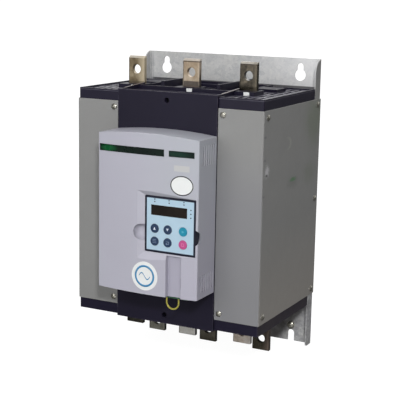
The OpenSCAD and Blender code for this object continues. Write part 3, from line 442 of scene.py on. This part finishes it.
def piece(name, verts, faces, mat, body, smooth=False):
    me = bpy.data.meshes.new(name)
    me.from_pydata([tuple(v) for v in verts], [], faces)
    me.validate()
    bm = bmesh.new()
    bm.from_mesh(me)
    bmesh.ops.recalc_face_normals(bm, faces=bm.faces)
    bm.to_mesh(me)
    bm.free()
    for p in me.polygons:
        p.use_smooth = smooth
    o = bpy.data.objects.new(name, me)
    scene.collection.objects.link(o)
    me.materials.append(mat.m)
    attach(o, body)
    return o


def prisms(outlines, y0, y1):
    """Closed prisms from outlines in X and Z (metres), between two Y planes."""
    verts, faces = [], []
    for ring in outlines:
        k, n = len(verts), len(ring)
        verts += [(x, y0, z) for x, z in ring] + [(x, y1, z) for x, z in ring]
        faces += [tuple(range(k, k + n)), tuple(range(k + 2 * n - 1, k + n - 1, -1))]
        faces += [(k + i, k + (i + 1) % n, k + n + (i + 1) % n, k + n + i) for i in range(n)]
    return verts, faces


def mm(ring, dx=0.0, dz=0.0):
    return [((x + dx) / 1000, (z + dz) / 1000) for x, z in ring]


# ------------------------------------------------------------------ materials
GREY = lin(139, 139, 138)
zinc = galvanised("zinc_spangle")
grey_l = painted("grey_paint_left", GREY, -1)
grey_r = painted("grey_paint_right", GREY, 1, marks=True)
# Edges of the dark frames painted lighter: rubbing and painted edge highlight.
RIM = (((2, (0.1707, -0.1478)), (1, (-0.1965,))), ((2, (0.1707, -0.1478)), (0, (-0.141, 0.141))),
       ((0, (-0.141, 0.141)), (1, (-0.1965,))), ((2, (0.18,)), (0, (-0.0455, -0.0425, 0.0425, 0.0455))))


def deck_dust_and_sheen(m, base):
    """Pale dust and painted sheen on the flat outer decks, and a painted highlight along the tops of the two long ribs.
    """
    patchy = m.remap(m.noise(70, 4, 0.6), 0.3, 0.6, 0.35, 0.85)
    # the flat outer decks: dust and painted sheen
    base = m.mix(m.math("MULTIPLY", m.inside(2, 0.16835, 0.16885, 0.0001), patchy), base, lin(112, 110, 122))
    # painted highlight along the rib tops
    top = m.math("ADD", m.math("MULTIPLY", m.math("ADD", m.axis(1), 0.1848), 0.0608), 0.1734)
    on = m.remap(m.math("SUBTRACT", m.axis(2), top), -0.0006, -0.0002, 0.0, 0.8)
    side = m.math("ABSOLUTE", m.axis(0))
    on = m.math("MULTIPLY", on, m.math("MULTIPLY", m.math("GREATER_THAN", side, 0.0727), m.math("LESS_THAN", side, 0.0763)))
    on = m.math("MULTIPLY", on, m.math("LESS_THAN", m.axis(1), -0.1315))
    base = m.mix(on, base, lin(128, 118, 116))
    # a lighter, patchy tone low on the frame's right side face
    low_right_lighter = m.math("MULTIPLY", m.remap(m.axis(0), 0.1403, 0.1406, 0.0, 1.0), m.inside(2, -0.160, -0.120, 0.0003))
    return m.mix(m.math("MULTIPLY", low_right_lighter, m.remap(m.noise(40, 4), 0.3, 0.65, 0.45, 0.9)), base, lin(62, 57, 62))


charcoal = moulded("charcoal_moulding", lin(30, 27, 44), 0.36, 1900, 0.00005, 0.4, 0.12, 0.22, rub=RIM, rub_and_highlight_colour=lin(62, 58, 74),
                   extra=deck_dust_and_sheen)
# the centre panel's top rim and front edges painted lighter: rubbing and painted edge highlight
charcoal_front = moulded("charcoal_centre", lin(29, 26, 42), 0.48, 2100, 0.00005, 0.4, 0.10, 0.2, rub=(
    ((2, (0.1729, -0.1495)), (1, (-0.200,))), ((0, (-0.076, 0.076)), (1, (-0.200,)))), rub_and_highlight_colour=lin(82, 78, 92))


def cover_marks(m, base):
    """The wiring channel's floor painted darker with fine ribs, as painted shade in the recess, and thin dark lines at
    its right, as painted shadow of the channel's right wall.
    """
    floor_ = m.math("MULTIPLY", m.inside(0, 0.0306, 0.0522, 0.0002), m.inside(2, -0.100, -0.0378, 0.0002))
    ribs = m.remap(m.math("SINE", m.math("MULTIPLY", m.axis(0), 2600.0)), -1.0, 1.0, 0.42, 0.54)
    base = m.mix(m.math("MULTIPLY", floor_, ribs), base, lin(150, 147, 162))
    # painted shadow lines along the channel's right wall
    line = m.math("MULTIPLY", m.inside(0, 0.0522, 0.0529, 0.0002), m.inside(2, -0.095, -0.0385, 0.004))
    base = m.mix(m.math("MULTIPLY", line, 0.45), base, lin(132, 129, 142))
    line2 = m.math("MULTIPLY", m.inside(0, 0.0521, 0.0533, 0.0002), m.inside(2, -0.0795, -0.0655, 0.0015))
    base = m.mix(m.math("MULTIPLY", line2, 0.5), base, lin(108, 104, 118))
    # painted shade in the slots and painted highlight on the bars of the side vents
    side = m.math("GREATER_THAN", m.math("ABSOLUTE", m.axis(0)), 0.0752)
    for y0, step, n, z0, z1 in ((-0.239, 0.0062, 6, 0.084, 0.110), (-0.242, 0.0068, 6, -0.085, -0.062)):
        t = m.math("FRACT", m.math("DIVIDE", m.math("SUBTRACT", m.axis(1), y0), step))
        span = m.math("MULTIPLY", m.inside(1, y0, y0 + step * n - 0.002, 0.0002), m.inside(2, z0, z1, 0.0003))
        on = m.math("MULTIPLY", span, side)
        slot = m.math("LESS_THAN", t, 0.37)
        bar = m.math("MULTIPLY", m.math("GREATER_THAN", t, 0.40), m.math("LESS_THAN", t, 0.72))
        base = m.mix(m.math("MULTIPLY", m.math("MULTIPLY", on, slot), 0.5), base, lin(112, 110, 122))
        base = m.mix(m.math("MULTIPLY", m.math("MULTIPLY", on, bar), 0.6), base, lin(226, 226, 234))
    # faint violet cast low on the right
    return m.mix(m.math("MULTIPLY", m.blob(0, 0.075, 0.06, 2, -0.08, 0.05, 0.8), 0.35), base, lin(178, 174, 190))


KX, KZ = 0.0348, 0.0026  # middle of the keypad
# Edges of the light cover painted lighter: rubbing and painted edge highlight.
COVER = (((0, (-0.076, 0.076)), (1, (-0.250,))), ((2, (-0.0945, 0.1233)), (1, (-0.2535,))), ((2, (-0.0935, 0.1185)), (0, (-0.076, 0.076))))
light = moulded("light_moulding", lin(181, 180, 192), 0.42, 2300, 0.00003, 0.3, 0.03, tint=lin(176, 182, 187),
                rub=COVER, rub_and_highlight_colour=lin(214, 214, 220), extra=cover_marks)
navy = moulded("navy_case", lin(19, 21, 38), 0.36, 1800, 0.00003, 0.3, 0.12)


def sheet_border(m, base):
    """The printed sheet's dark border line."""
    clear = m.math("MULTIPLY", m.inside(0, KX - 0.0351, KX + 0.0351, 0.0002), m.inside(2, KZ - 0.0351, KZ + 0.0351, 0.0002))
    return m.mix(clear, lin(26, 30, 54), base)


overlay = moulded("overlay_film", lin(180, 206, 223), 0.36, 1500, 0.00002, 0.25, 0.03, extra=sheet_border)
key_navy = moulded("key_navy", lin(38, 58, 88), 0.38, 1500, 0.00003, 0.3, 0.10)
key_teal = moulded("key_teal", lin(28, 140, 168), 0.38, 1500, 0.00003, 0.3, 0.08)
key_pink = moulded("key_pink", lin(194, 78, 138), 0.38, 1500, 0.00003, 0.3, 0.08)
print_navy = moulded("print_navy", lin(52, 66, 104), 0.45, 1200, 0.00001, 0.2, 0.1)
print_white = moulded("print_white", lin(216, 222, 234), 0.45, 1200, 0.00001, 0.2, 0.04)
print_dim = moulded("print_dim", lin(122, 138, 164), 0.45, 1200, 0.00001, 0.2, 0.04)
print_teal = moulded("print_teal", lin(84, 172, 194), 0.45, 1200, 0.00001, 0.2, 0.04)
print_pink = moulded("print_pink", lin(222, 132, 176), 0.45, 1200, 0.00001, 0.2, 0.04)
paper = moulded("label_face", lin(236, 238, 237), 0.40, 900, 0.00002, 0.25, 0.03)
ring_ink = moulded("ring_ink", lin(52, 52, 54), 0.42, 900, 0.00002, 0.2, 0.15)
blue_ink = moulded("blue_ink", lin(66, 142, 190), 0.42, 900, 0.00002, 0.2, 0.1)
term_green = moulded("terminal_green", lin(62, 104, 76), 0.42, 1700, 0.00003, 0.3, 0.1)
black = moulded("black_moulding", lin(40, 40, 43), 0.42, 1700, 0.00004, 0.35, 0.12)
module_black = moulded("module_case", lin(56, 56, 59), 0.48, 1200, 0.00005, 0.4, 0.12)
wire = moulded("wire_insulation", lin(172, 164, 72), 0.34, 900, 0.00002, 0.3, 0.08)
ribbon = moulded("ribbon", lin(168, 168, 172), 0.5, 700, 0.00003, 0.3, 0.06)
nickel = metal("nickel_screw", lin(176, 174, 164), 0.30, 1200, 0.12)
black_screw = metal("black_screw", lin(34, 34, 36), 0.38, 1300, 0.2, 0.5)
steel_dark = metal("blackened_steel", lin(92, 90, 88), 0.4, 1100, 0.15, 0.8)
spacer = metal("plated_spacer", lin(206, 198, 170), 0.3, 1200, 0.1)
alu = metal("extruded_aluminium", lin(196, 198, 201), 0.36, 1.0, 0.1, 0.85, (600, 600, 9))
iron = metal("varnished_laminations", lin(104, 92, 72), 0.45, 1.0, 0.2, 0.3, (40, 900, 40))
pcb = board("circuit_board")



def foot_shadow(z0, z1, colour, k=0.85):
    """A painted shadow band across a bar's foot."""
    def f(m, base):
        return m.mix(m.math("MULTIPLY", m.inside(2, z0, z1, 0.0005), k), base, colour)
    return f


def half_light(x, colour, k=0.6, wide=0.003):
    """A painted highlight and reflection: the right side lighter."""
    def f(m, base):
        t = m.remap(m.axis(0), x - wide, x + wide, 0.0, k, True)
        return m.mix(t, base, colour)
    return f


def tip_highlight(colour, line, *more):
    """A painted highlight on the top bevel of a line bar, with a painted shade line under it."""
    def f(m, base):
        k = m.remap(m.noise(300, 3), 0.3, 0.7, 0.7, 1.0)
        base = m.mix(m.math("MULTIPLY", m.inside(2, 0.2085, 0.2101, 0.0004), line), base, lin(46, 38, 34))
        base = m.mix(m.math("MULTIPLY", m.inside(2, 0.2102, 0.215, 0.0003), k), base, colour)
        for g in more:
            base = g(m, base)
        return base
    return f


def specks(colour, x, k=0.5):
    """Small bright specks and wipes, denser at the left."""
    def f(m, base):
        on = m.remap(m.noise(520, 3, 0.6), 0.52, 0.64, 0.0, k)
        return m.mix(m.math("MULTIPLY", on, m.remap(m.axis(0), x - 0.013, x + 0.013, 1.0, 0.45)), base, colour)
    return f


def tip_dark(z0, z1, colour, k, side=None):
    """Darker towards the end of a lower bar; side is (x of the right face, colour)."""
    def f(m, base):
        base = m.mix(m.remap(m.axis(2), z0, z1, k, 0.0), base, colour)
        if side:
            base = m.mix(m.inside(0, side[0] - 0.0004, side[0] + 0.001, 0.0001), base, side[1])
        return base
    return f


LW, BW = 0.01275, 0.01325
LY, QY = -0.131, -0.064
# The nine bars are the same plated copper; their widely different base tones are painted light and shade, each bar
# toned for how it is lit and what it reflects where it stands.
bar_l1 = plated("plated_bar_1", lin(128, 113, 87), lin(98, 85, 62), lin(176, 163, 136), (-0.0875, LW, LY, 0.213), 1.7, 0.36, 0.35,
                extra=tip_highlight(lin(214, 206, 192), 0.25, half_light(-0.0825, lin(208, 194, 166), 0.62, 0.006), foot_shadow(0.1745, 0.1775, lin(70, 60, 46), 0.7)))
bar_l2 = plated("plated_bar_2", lin(171, 152, 128), lin(148, 129, 106), lin(200, 185, 165), (0.0, LW, LY, 0.213), 4.1, 0.36, 0.35,
                extra=tip_highlight(lin(206, 198, 188), 0.8, foot_shadow(0.1745, 0.1822, lin(60, 54, 54))), edge=0.45)
bar_l3 = plated("plated_bar_3", lin(50, 45, 38), lin(26, 24, 21), lin(100, 92, 79), (0.0875, LW, LY, 0.213), 7.3, 0.12, 0.8, 0.8,
                extra=tip_highlight(lin(216, 210, 200), 0.9, half_light(0.0945, lin(104, 97, 84), 0.4), specks(lin(112, 104, 90), 0.0875, 0.3)))
bar_p1 = plated("load_bar_1", lin(47, 45, 38), lin(34, 33, 27), lin(78, 76, 64), (-0.0875, BW, LY, -0.1805), 9.2, 0.40, 0.35, 0.4, "x",
                extra=half_light(-0.082, lin(88, 84, 70), 0.5, 0.009), edge=0.3)
bar_p2 = plated("load_bar_2", lin(242, 239, 231), lin(224, 220, 210), lin(250, 249, 244), (0.0, BW, LY, -0.1851), 12.4, 0.34, 0.35, 0.4)
bar_p3 = plated("load_bar_3", lin(226, 211, 196), lin(198, 183, 168), lin(242, 234, 226), (0.0875, BW, LY, -0.1835), 15.9, 0.36, 0.35, 0.5, "x",
                extra=tip_dark(-0.1845, -0.1835, lin(200, 190, 178), 0.1, (0.10075, lin(222, 216, 208))))
bar_q1 = plated("bypass_bar_1", lin(148, 146, 134), lin(128, 126, 114), lin(172, 170, 158), (-0.0875, BW, QY, -0.2105), 3.3, 0.38, 0.35, 0.4, edge=0.2)
bar_q2 = plated("bypass_bar_2", lin(104, 99, 86), lin(84, 79, 66), lin(128, 122, 108), (0.0, BW, QY, -0.2137), 5.9, 0.38, 0.35, 0.4,
                extra=tip_dark(-0.2130, -0.2035, lin(50, 46, 32), 0.8), edge=0.2)
bar_q3 = plated("bypass_bar_3", lin(68, 63, 50), lin(68, 63, 50), lin(122, 112, 98), (0.0875, BW, QY, -0.2133), 8.8, 0.34, 0.5, 0.5,
                extra=half_light(0.094, lin(136, 116, 108), 0.45, 0.006))

# strips: dark film, a green field at the left end of the long one and along the short one
strip = Mat("strip_film", 0.34, 0.0, 0.2, 0.08, 0.2)
s_base = wear(strip, lin(10, 26, 20), lin(6, 18, 15), lin(15, 34, 25), 40, 500)
s_g1 = strip.blob(0, -0.0595, 0.0105, 2, 0.0990, 0.0042, 0.6, 0.1, 300)
s_g2 = strip.blob(0, 0.0470, 0.0150, 2, 0.0990, 0.0036, 0.8, 0.1, 300)
s_c = strip.mix(strip.math("MULTIPLY", s_g1, 0.85), s_base, lin(18, 88, 48))
s_c = strip.mix(strip.math("MULTIPLY", s_g2, 0.45), s_c, lin(18, 66, 52))
strip.colour(s_c)
strip.rough(strip.remap(strip.noise(90, 3), 0.3, 0.7, 0.24, 0.38))
strip.normal(strip.bump(strip.noise(1200, 2), 0.15, 0.00002))

# display window: smoked red-brown, glossy
tint = Mat("display_tint", 0.12, 0.0, 0.5, 0.4, 0.05)
tint.colour(tint.ramp(tint.noise(60, 3), (0.3, lin(26, 22, 20)), (0.55, lin(36, 30, 26)), (0.75, lin(48, 34, 30))))
tint.rough(tint.remap(tint.noise(200, 4), 0.3, 0.7, 0.08, 0.2))
tint.normal(tint.bump(tint.noise(800, 2), 0.08, 0.00001))

led = Mat("led_lens", 0.2, 0.0, 0.5, 0.3, 0.1)
led.colour(led.ramp(led.noise(900, 2), (0.3, lin(30, 38, 66)), (0.7, lin(58, 68, 98))))
led.rough(led.remap(led.noise(400, 2), 0.3, 0.7, 0.15, 0.3))

module_face = Mat("display_module", 0.4)
module_face.colour(wear(module_face, lin(44, 40, 40), lin(34, 30, 30), lin(56, 50, 50), 60, 600))
module_face.rough(module_face.remap(module_face.noise(200, 2), 0.3, 0.7, 0.34, 0.5))

give(zinc, "back_plate")
give(grey_l, "left_side_panel")
give(grey_r, "right_side_panel")
give(charcoal, "top_frame", "bottom_frame")
give(charcoal_front, "centre_panel")
give(light, "front_cover")
give(navy, "keypad_housing")
give(overlay, "keypad_overlay")
give(tint, "display_window")
give(module_face, "display_module")
give(led, "status_leds")
give(pcb, "keypad_board", "control_board", "driver_board")
give(key_navy, "key_up", "key_down", "key_menu", "key_return")
give(key_teal, "key_start")
give(key_pink, "key_stop")
give(strip, "name_strip_left", "name_strip_right")
give(paper, "oval_sticker", "round_sticker", "phase_labels")
give(term_green, "control_terminal")
give(wire, "jumper_wire")
give(spacer, "board_standoffs")
give(bar_l1, "line_bar_1")
give(bar_l2, "line_bar_2")
give(bar_l3, "line_bar_3")
give(bar_p1, "load_bar_1")
give(bar_p2, "load_bar_2")
give(bar_p3, "load_bar_3")
give(bar_q1, "bypass_bar_1")
give(bar_q2, "bypass_bar_2")
give(bar_q3, "bypass_bar_3")
give(module_black, "thyristor_module_1", "thyristor_module_2", "thyristor_module_3")
give(steel_dark, "module_screws")
give(nickel, "bar_bolts", "panel_screws", "earth_screw")
give(black_screw, "centre_screws")
give(alu, "heat_sink")
give(black, "current_transformer_1", "current_transformer_2", "current_transformer_3",
     "fan_frame_left", "fan_frame_right", "fan_rotor_left", "fan_rotor_right")
give(ribbon, "ribbon_cable")
give(iron, "control_transformer")

# ------------------------------------------------------------------ rounded edges
soften("back_plate", 0.0004)
for n in ("left_side_panel", "right_side_panel"):
    soften(n, 0.0004)
soften("centre_panel", 0.0006)
soften("keypad_housing", 0.00025)
for n in ("key_up", "key_down", "key_menu", "key_return", "key_start", "key_stop"):
    soften(n, 0.00035)
for i in (1, 2, 3):
    for n in ("line_bar_", "load_bar_", "bypass_bar_"):
        soften(f"{n}{i}", 0.0004)
    soften(f"current_transformer_{i}", 0.0008)
    soften(f"thyristor_module_{i}", 0.0006)
soften("control_terminal", 0.00025)
soften("control_transformer", 0.0008)

# ------------------------------------------------------------------ printing on the keypad and stickers
KF = -0.250  # keypad front plane


def tri(cx, cz, w, h, up):
    s = 1 if up else -1
    return [(cx - w / 2, cz - s * h / 2), (cx + w / 2, cz - s * h / 2), (cx, cz + s * h / 2)]


def box2(x0, z0, x1, z1):
    return [(x0, z0), (x1, z0), (x1, z1), (x0, z1)]


marks = [mm(tri(x, 36.0, 2.6, 2.2, False)) for x in (11.5, 33.0, 55.0)]
v, f = prisms(marks, KF - 0.00005, KF + 0.0001)
piece("overlay_marks", v, f, print_navy, "keypad")

TOP = KF - 0.0009  # faces of the caps
sym = {
    "key_up": [tri(11.9, -3.0, 3.8, 3.8, True)],
    "key_down": [tri(31.4, -3.0, 3.8, 3.8, False)],
    "key_menu": [box2(9.2, -19.0 + 0.6, 14.6, -18.4 + 0.6), box2(9.2, -21.0 + 0.6, 14.6, -20.4 + 0.6), box2(9.2, -23.0 + 0.6, 14.6, -22.4 + 0.6)],
    "key_return": [box2(29.6, -19.4, 33.9, -18.7), box2(33.2, -21.9, 33.9, -19.4), box2(30.4, -22.4, 33.9, -21.7),
                   [(30.8, -20.6), (30.8, -23.5), (28.9, -22.05)]],
}
for k, rings in sym.items():
    v, f = prisms([mm(r) for r in rings], TOP - 0.00004, TOP + 0.0001)
    piece(f"{k}_symbol", v, f, print_white if k in ("key_up", "key_down") else print_dim, f"{k}_cap")


# start: a plain play arrow; stop: a plain square outline
play = [(52.8, -4.9), (56.6, -3.0), (52.8, -1.1)]
v, f = prisms([mm(play)], TOP - 0.00004, TOP + 0.0001)
piece("key_start_symbol", v, f, print_teal, "key_start_cap")
sq = [box2(52.3, -19.0, 56.3, -18.4), box2(52.3, -22.4, 56.3, -21.8), box2(52.3, -21.8, 52.9, -19.0), box2(55.7, -21.8, 56.3, -19.0)]
v, f = prisms([mm(r) for r in sq], TOP - 0.00004, TOP + 0.0001)
piece("key_stop_symbol", v, f, print_pink, "key_stop_cap")


def on_cover(x, out=0.0):
    """Y of the cover's curved face at x, all in metres."""
    r = (0.076 ** 2 + 0.0035 ** 2) / (2 * 0.0035)
    return -0.250 - 0.0035 + r - math.sqrt((r + out) ** 2 - x * x)


def band(cx, cz, rx, rz, w, out, a0=0.0, a1=360.0, n=96):
    """A flat ring that lies on the cover's face, w wide and 'out' proud."""
    closed = a1 - a0 >= 360
    m = n if closed else n + 1
    verts, faces = [], []
    for i in range(m):
        a = math.radians(a0 + (a1 - a0) * i / n)
        c, s = math.cos(a), math.sin(a)
        for k, o in ((0, out), (w, out), (w, out - 0.00012), (0, out - 0.00012)):
            x, z = cx + (rx - k) * c, cz + (rz - k) * s
            verts.append((x, on_cover(x, o), z))
    for i in range(n):
        a, b = 4 * i, 4 * ((i + 1) % m)
        for k in range(4):
            faces.append((a + k, a + (k + 1) % 4, b + (k + 1) % 4, b + k))
    if not closed:
        faces += [(0, 1, 2, 3), (4 * n + 3, 4 * n + 2, 4 * n + 1, 4 * n)]
    return verts, faces


v, f = band(0.0525, 0.0583, 0.0164, 0.0131, 0.0014, 0.00030)
piece("oval_ring", v, f, ring_ink, "housing", True)
v, f = band(-0.0011, -0.0693, 0.0150, 0.0150, 0.0027, 0.00030)
piece("round_ring", v, f, blue_ink, "housing", True)


def patch(cols, out):
    """A thin strip on the cover's face: cols is a list of (x, z low, z high)."""
    verts, faces = [], []
    for x, a, b in cols:
        for z, o in ((a, out), (b, out), (b, out - 0.00012), (a, out - 0.00012)):
            verts.append((x, on_cover(x, o), z))
    for i in range(len(cols) - 1):
        for k in range(4):
            faces.append((4 * i + k, 4 * i + (k + 1) % 4, 4 * i + 4 + (k + 1) % 4, 4 * i + 4 + k))
    e = 4 * (len(cols) - 1)
    faces += [(0, 1, 2, 3), (e + 3, e + 2, e + 1, e)]
    return verts, faces


# a plain wave in the ring, as a drive's output is drawn
wave = []
for i in range(41):
    t = i / 40
    x = -0.0011 - 0.0085 + 0.017 * t
    z = -0.0693 + 0.0042 * math.sin(2 * math.pi * t)
    wave.append((x, z - 0.0008, z + 0.0008))
v, f = patch(wave, 0.00030)
piece("round_wave", v, f, blue_ink, "housing", True)

# blank raised label above the oval sticker
lab = [(0.041 + 0.022 * i / 12, 0.0767, 0.0845) for i in range(13)]
v, f = patch(lab, 0.00006)
blank = moulded("blank_label", lin(193, 193, 193), 0.36, 900, 0.00001, 0.2, 0.02)
piece("blank_label", v, f, blank, "housing")

# ------------------------------------------------------------------ stage, light, camera
floor_z = cad_lo.z - 0.0005
fm = Mat("floor_pale", 0.9)
fm.colour(fm.ramp(fm.noise(3, 2), (0.3, (0.10, 0.10, 0.10, 1)), (0.7, (0.12, 0.12, 0.12, 1))))
fm.b.inputs["Emission Color"].default_value = (1, 1, 1, 1)
fm.b.inputs["Emission Strength"].default_value = 0.97
verts, faces = [], []
seg = 96
prof = [(0.0, 0.0), (2.0, 0.0), (8.0, 0.0), (22.0, 0.0), (26.0, 1.2), (29.0, 5.0), (30.0, 10.0), (29.0, 16.0), (25.0, 22.0), (16.0, 27.0), (0.0, 29.0)]
for j, (r, h) in enumerate(prof):
    for i in range(seg):
        a = 2 * math.pi * i / seg
        verts.append((r * math.cos(a), r * math.sin(a), floor_z + h))
for j in range(len(prof) - 1):
    for i in range(seg):
        faces.append((j * seg + i, j * seg + (i + 1) % seg, (j + 1) * seg + (i + 1) % seg, (j + 1) * seg + i))
me = bpy.data.meshes.new("floor")
me.from_pydata(verts, [], faces)
bm = bmesh.new()
bm.from_mesh(me)
bmesh.ops.remove_doubles(bm, verts=bm.verts, dist=1e-5)
bmesh.ops.recalc_face_normals(bm, faces=bm.faces)
bmesh.ops.reverse_faces(bm, faces=bm.faces)
bm.to_mesh(me)
bm.free()
for p in me.polygons:
    p.use_smooth = True
floor = bpy.data.objects.new("floor", me)
scene.collection.objects.link(floor)
me.materials.append(fm.m)
floor.visible_diffuse = False
floor.visible_glossy = False
floor.visible_shadow = False

world = bpy.data.worlds.new("studio")
scene.world = world
world.use_nodes = True
wt = world.node_tree
wt.nodes.clear()
wo = wt.nodes.new("ShaderNodeOutputWorld")
bg = wt.nodes.new("ShaderNodeBackground")
tc = wt.nodes.new("ShaderNodeTexCoord")
sp = wt.nodes.new("ShaderNodeSeparateXYZ")
wt.links.new(tc.outputs["Generated"], sp.inputs[0])


def rise(axis, a, b, top):
    """0 below a and top above b, on one axis of the sky's direction."""
    r = wt.nodes.new("ShaderNodeMapRange")
    r.interpolation_type = "SMOOTHSTEP"
    wt.links.new(sp.outputs[axis], r.inputs["Value"])
    for k, v in (("From Min", a), ("From Max", b), ("To Min", 0.0), ("To Max", top)):
        r.inputs[k].default_value = v
    return r.outputs["Result"]


def sky(op, a, b):
    x = wt.nodes.new("ShaderNodeMath")
    x.operation = op
    for i, v in enumerate((a, b)):
        if isinstance(v, float):
            x.inputs[i].default_value = v
        else:
            wt.links.new(v, x.inputs[i])
    return x.outputs[0]


# a white backdrop above the bench behind, a lit ceiling, dark elsewhere
back = sky("MULTIPLY", rise(1, 0.15, 0.75, 0.95), rise(2, -0.02, 0.14, 1.0))
glow = sky("ADD", sky("ADD", back, 0.095), rise(2, 0.62, 0.92, 0.75))
wt.links.new(glow, bg.inputs[0])
bg.inputs[1].default_value = 1.0
wt.links.new(bg.outputs[0], wo.inputs[0])


def area(name, azim, elev, dist, size, power, target=(0, -0.12, 0.03), size_y=None):
    """A softbox. Azimuth 0 is in front (-Y), 90 to the right (+X)."""
    a, e = math.radians(azim), math.radians(elev)
    t = Vector(target)
    d = Vector((math.sin(a) * math.cos(e), -math.cos(a) * math.cos(e), math.sin(e)))
    l = bpy.data.lights.new(name, "AREA")
    l.shape = "RECTANGLE"
    l.size, l.size_y = size, size_y or size
    l.energy = power
    o = bpy.data.objects.new(name, l)
    o.location = t + d * dist
    o.rotation_mode = "QUATERNION"
    o.rotation_quaternion = d.to_track_quat("Z", "Y")
    scene.collection.objects.link(o)
    return o


area("key", 32, 26, 2.5, 0.22, 27.5)
area("front_fill", -14, 18, 2.1, 1.6, 17.3)
area("table_bounce", 20, -22, 2.0, 1.5, 7.4)
area("back_fill", 190, 40, 2.4, 1.6, 10)

cam_data = bpy.data.cameras.new("camera")
cam = bpy.data.objects.new("camera", cam_data)
scene.collection.objects.link(cam)
scene.camera = cam
cam_data.sensor_width = 36
cam_data.lens = 100.75
cam_data.shift_x = 0.01387
cam_data.shift_y = 0.0061
cam_data.clip_start, cam_data.clip_end = 0.05, 200
R = Vector((0.88633003, 0.46273293, 0.01724304))
U = Vector((-0.10597818, 0.16646943, 0.98033453))
F = Vector((-0.45076263, 0.87072738, -0.19658811))
cam.matrix_world = Matrix((
    (R.x, U.x, -F.x, 0.72259),
    (R.y, U.y, -F.y, -1.50995),
    (R.z, U.z, -F.z, 0.32265),
    (0, 0, 0, 1),
))

scene.view_settings.view_transform = "Standard"
scene.view_settings.look = "None"
scene.view_settings.exposure = 0.0
scene.view_settings.gamma = 1.0
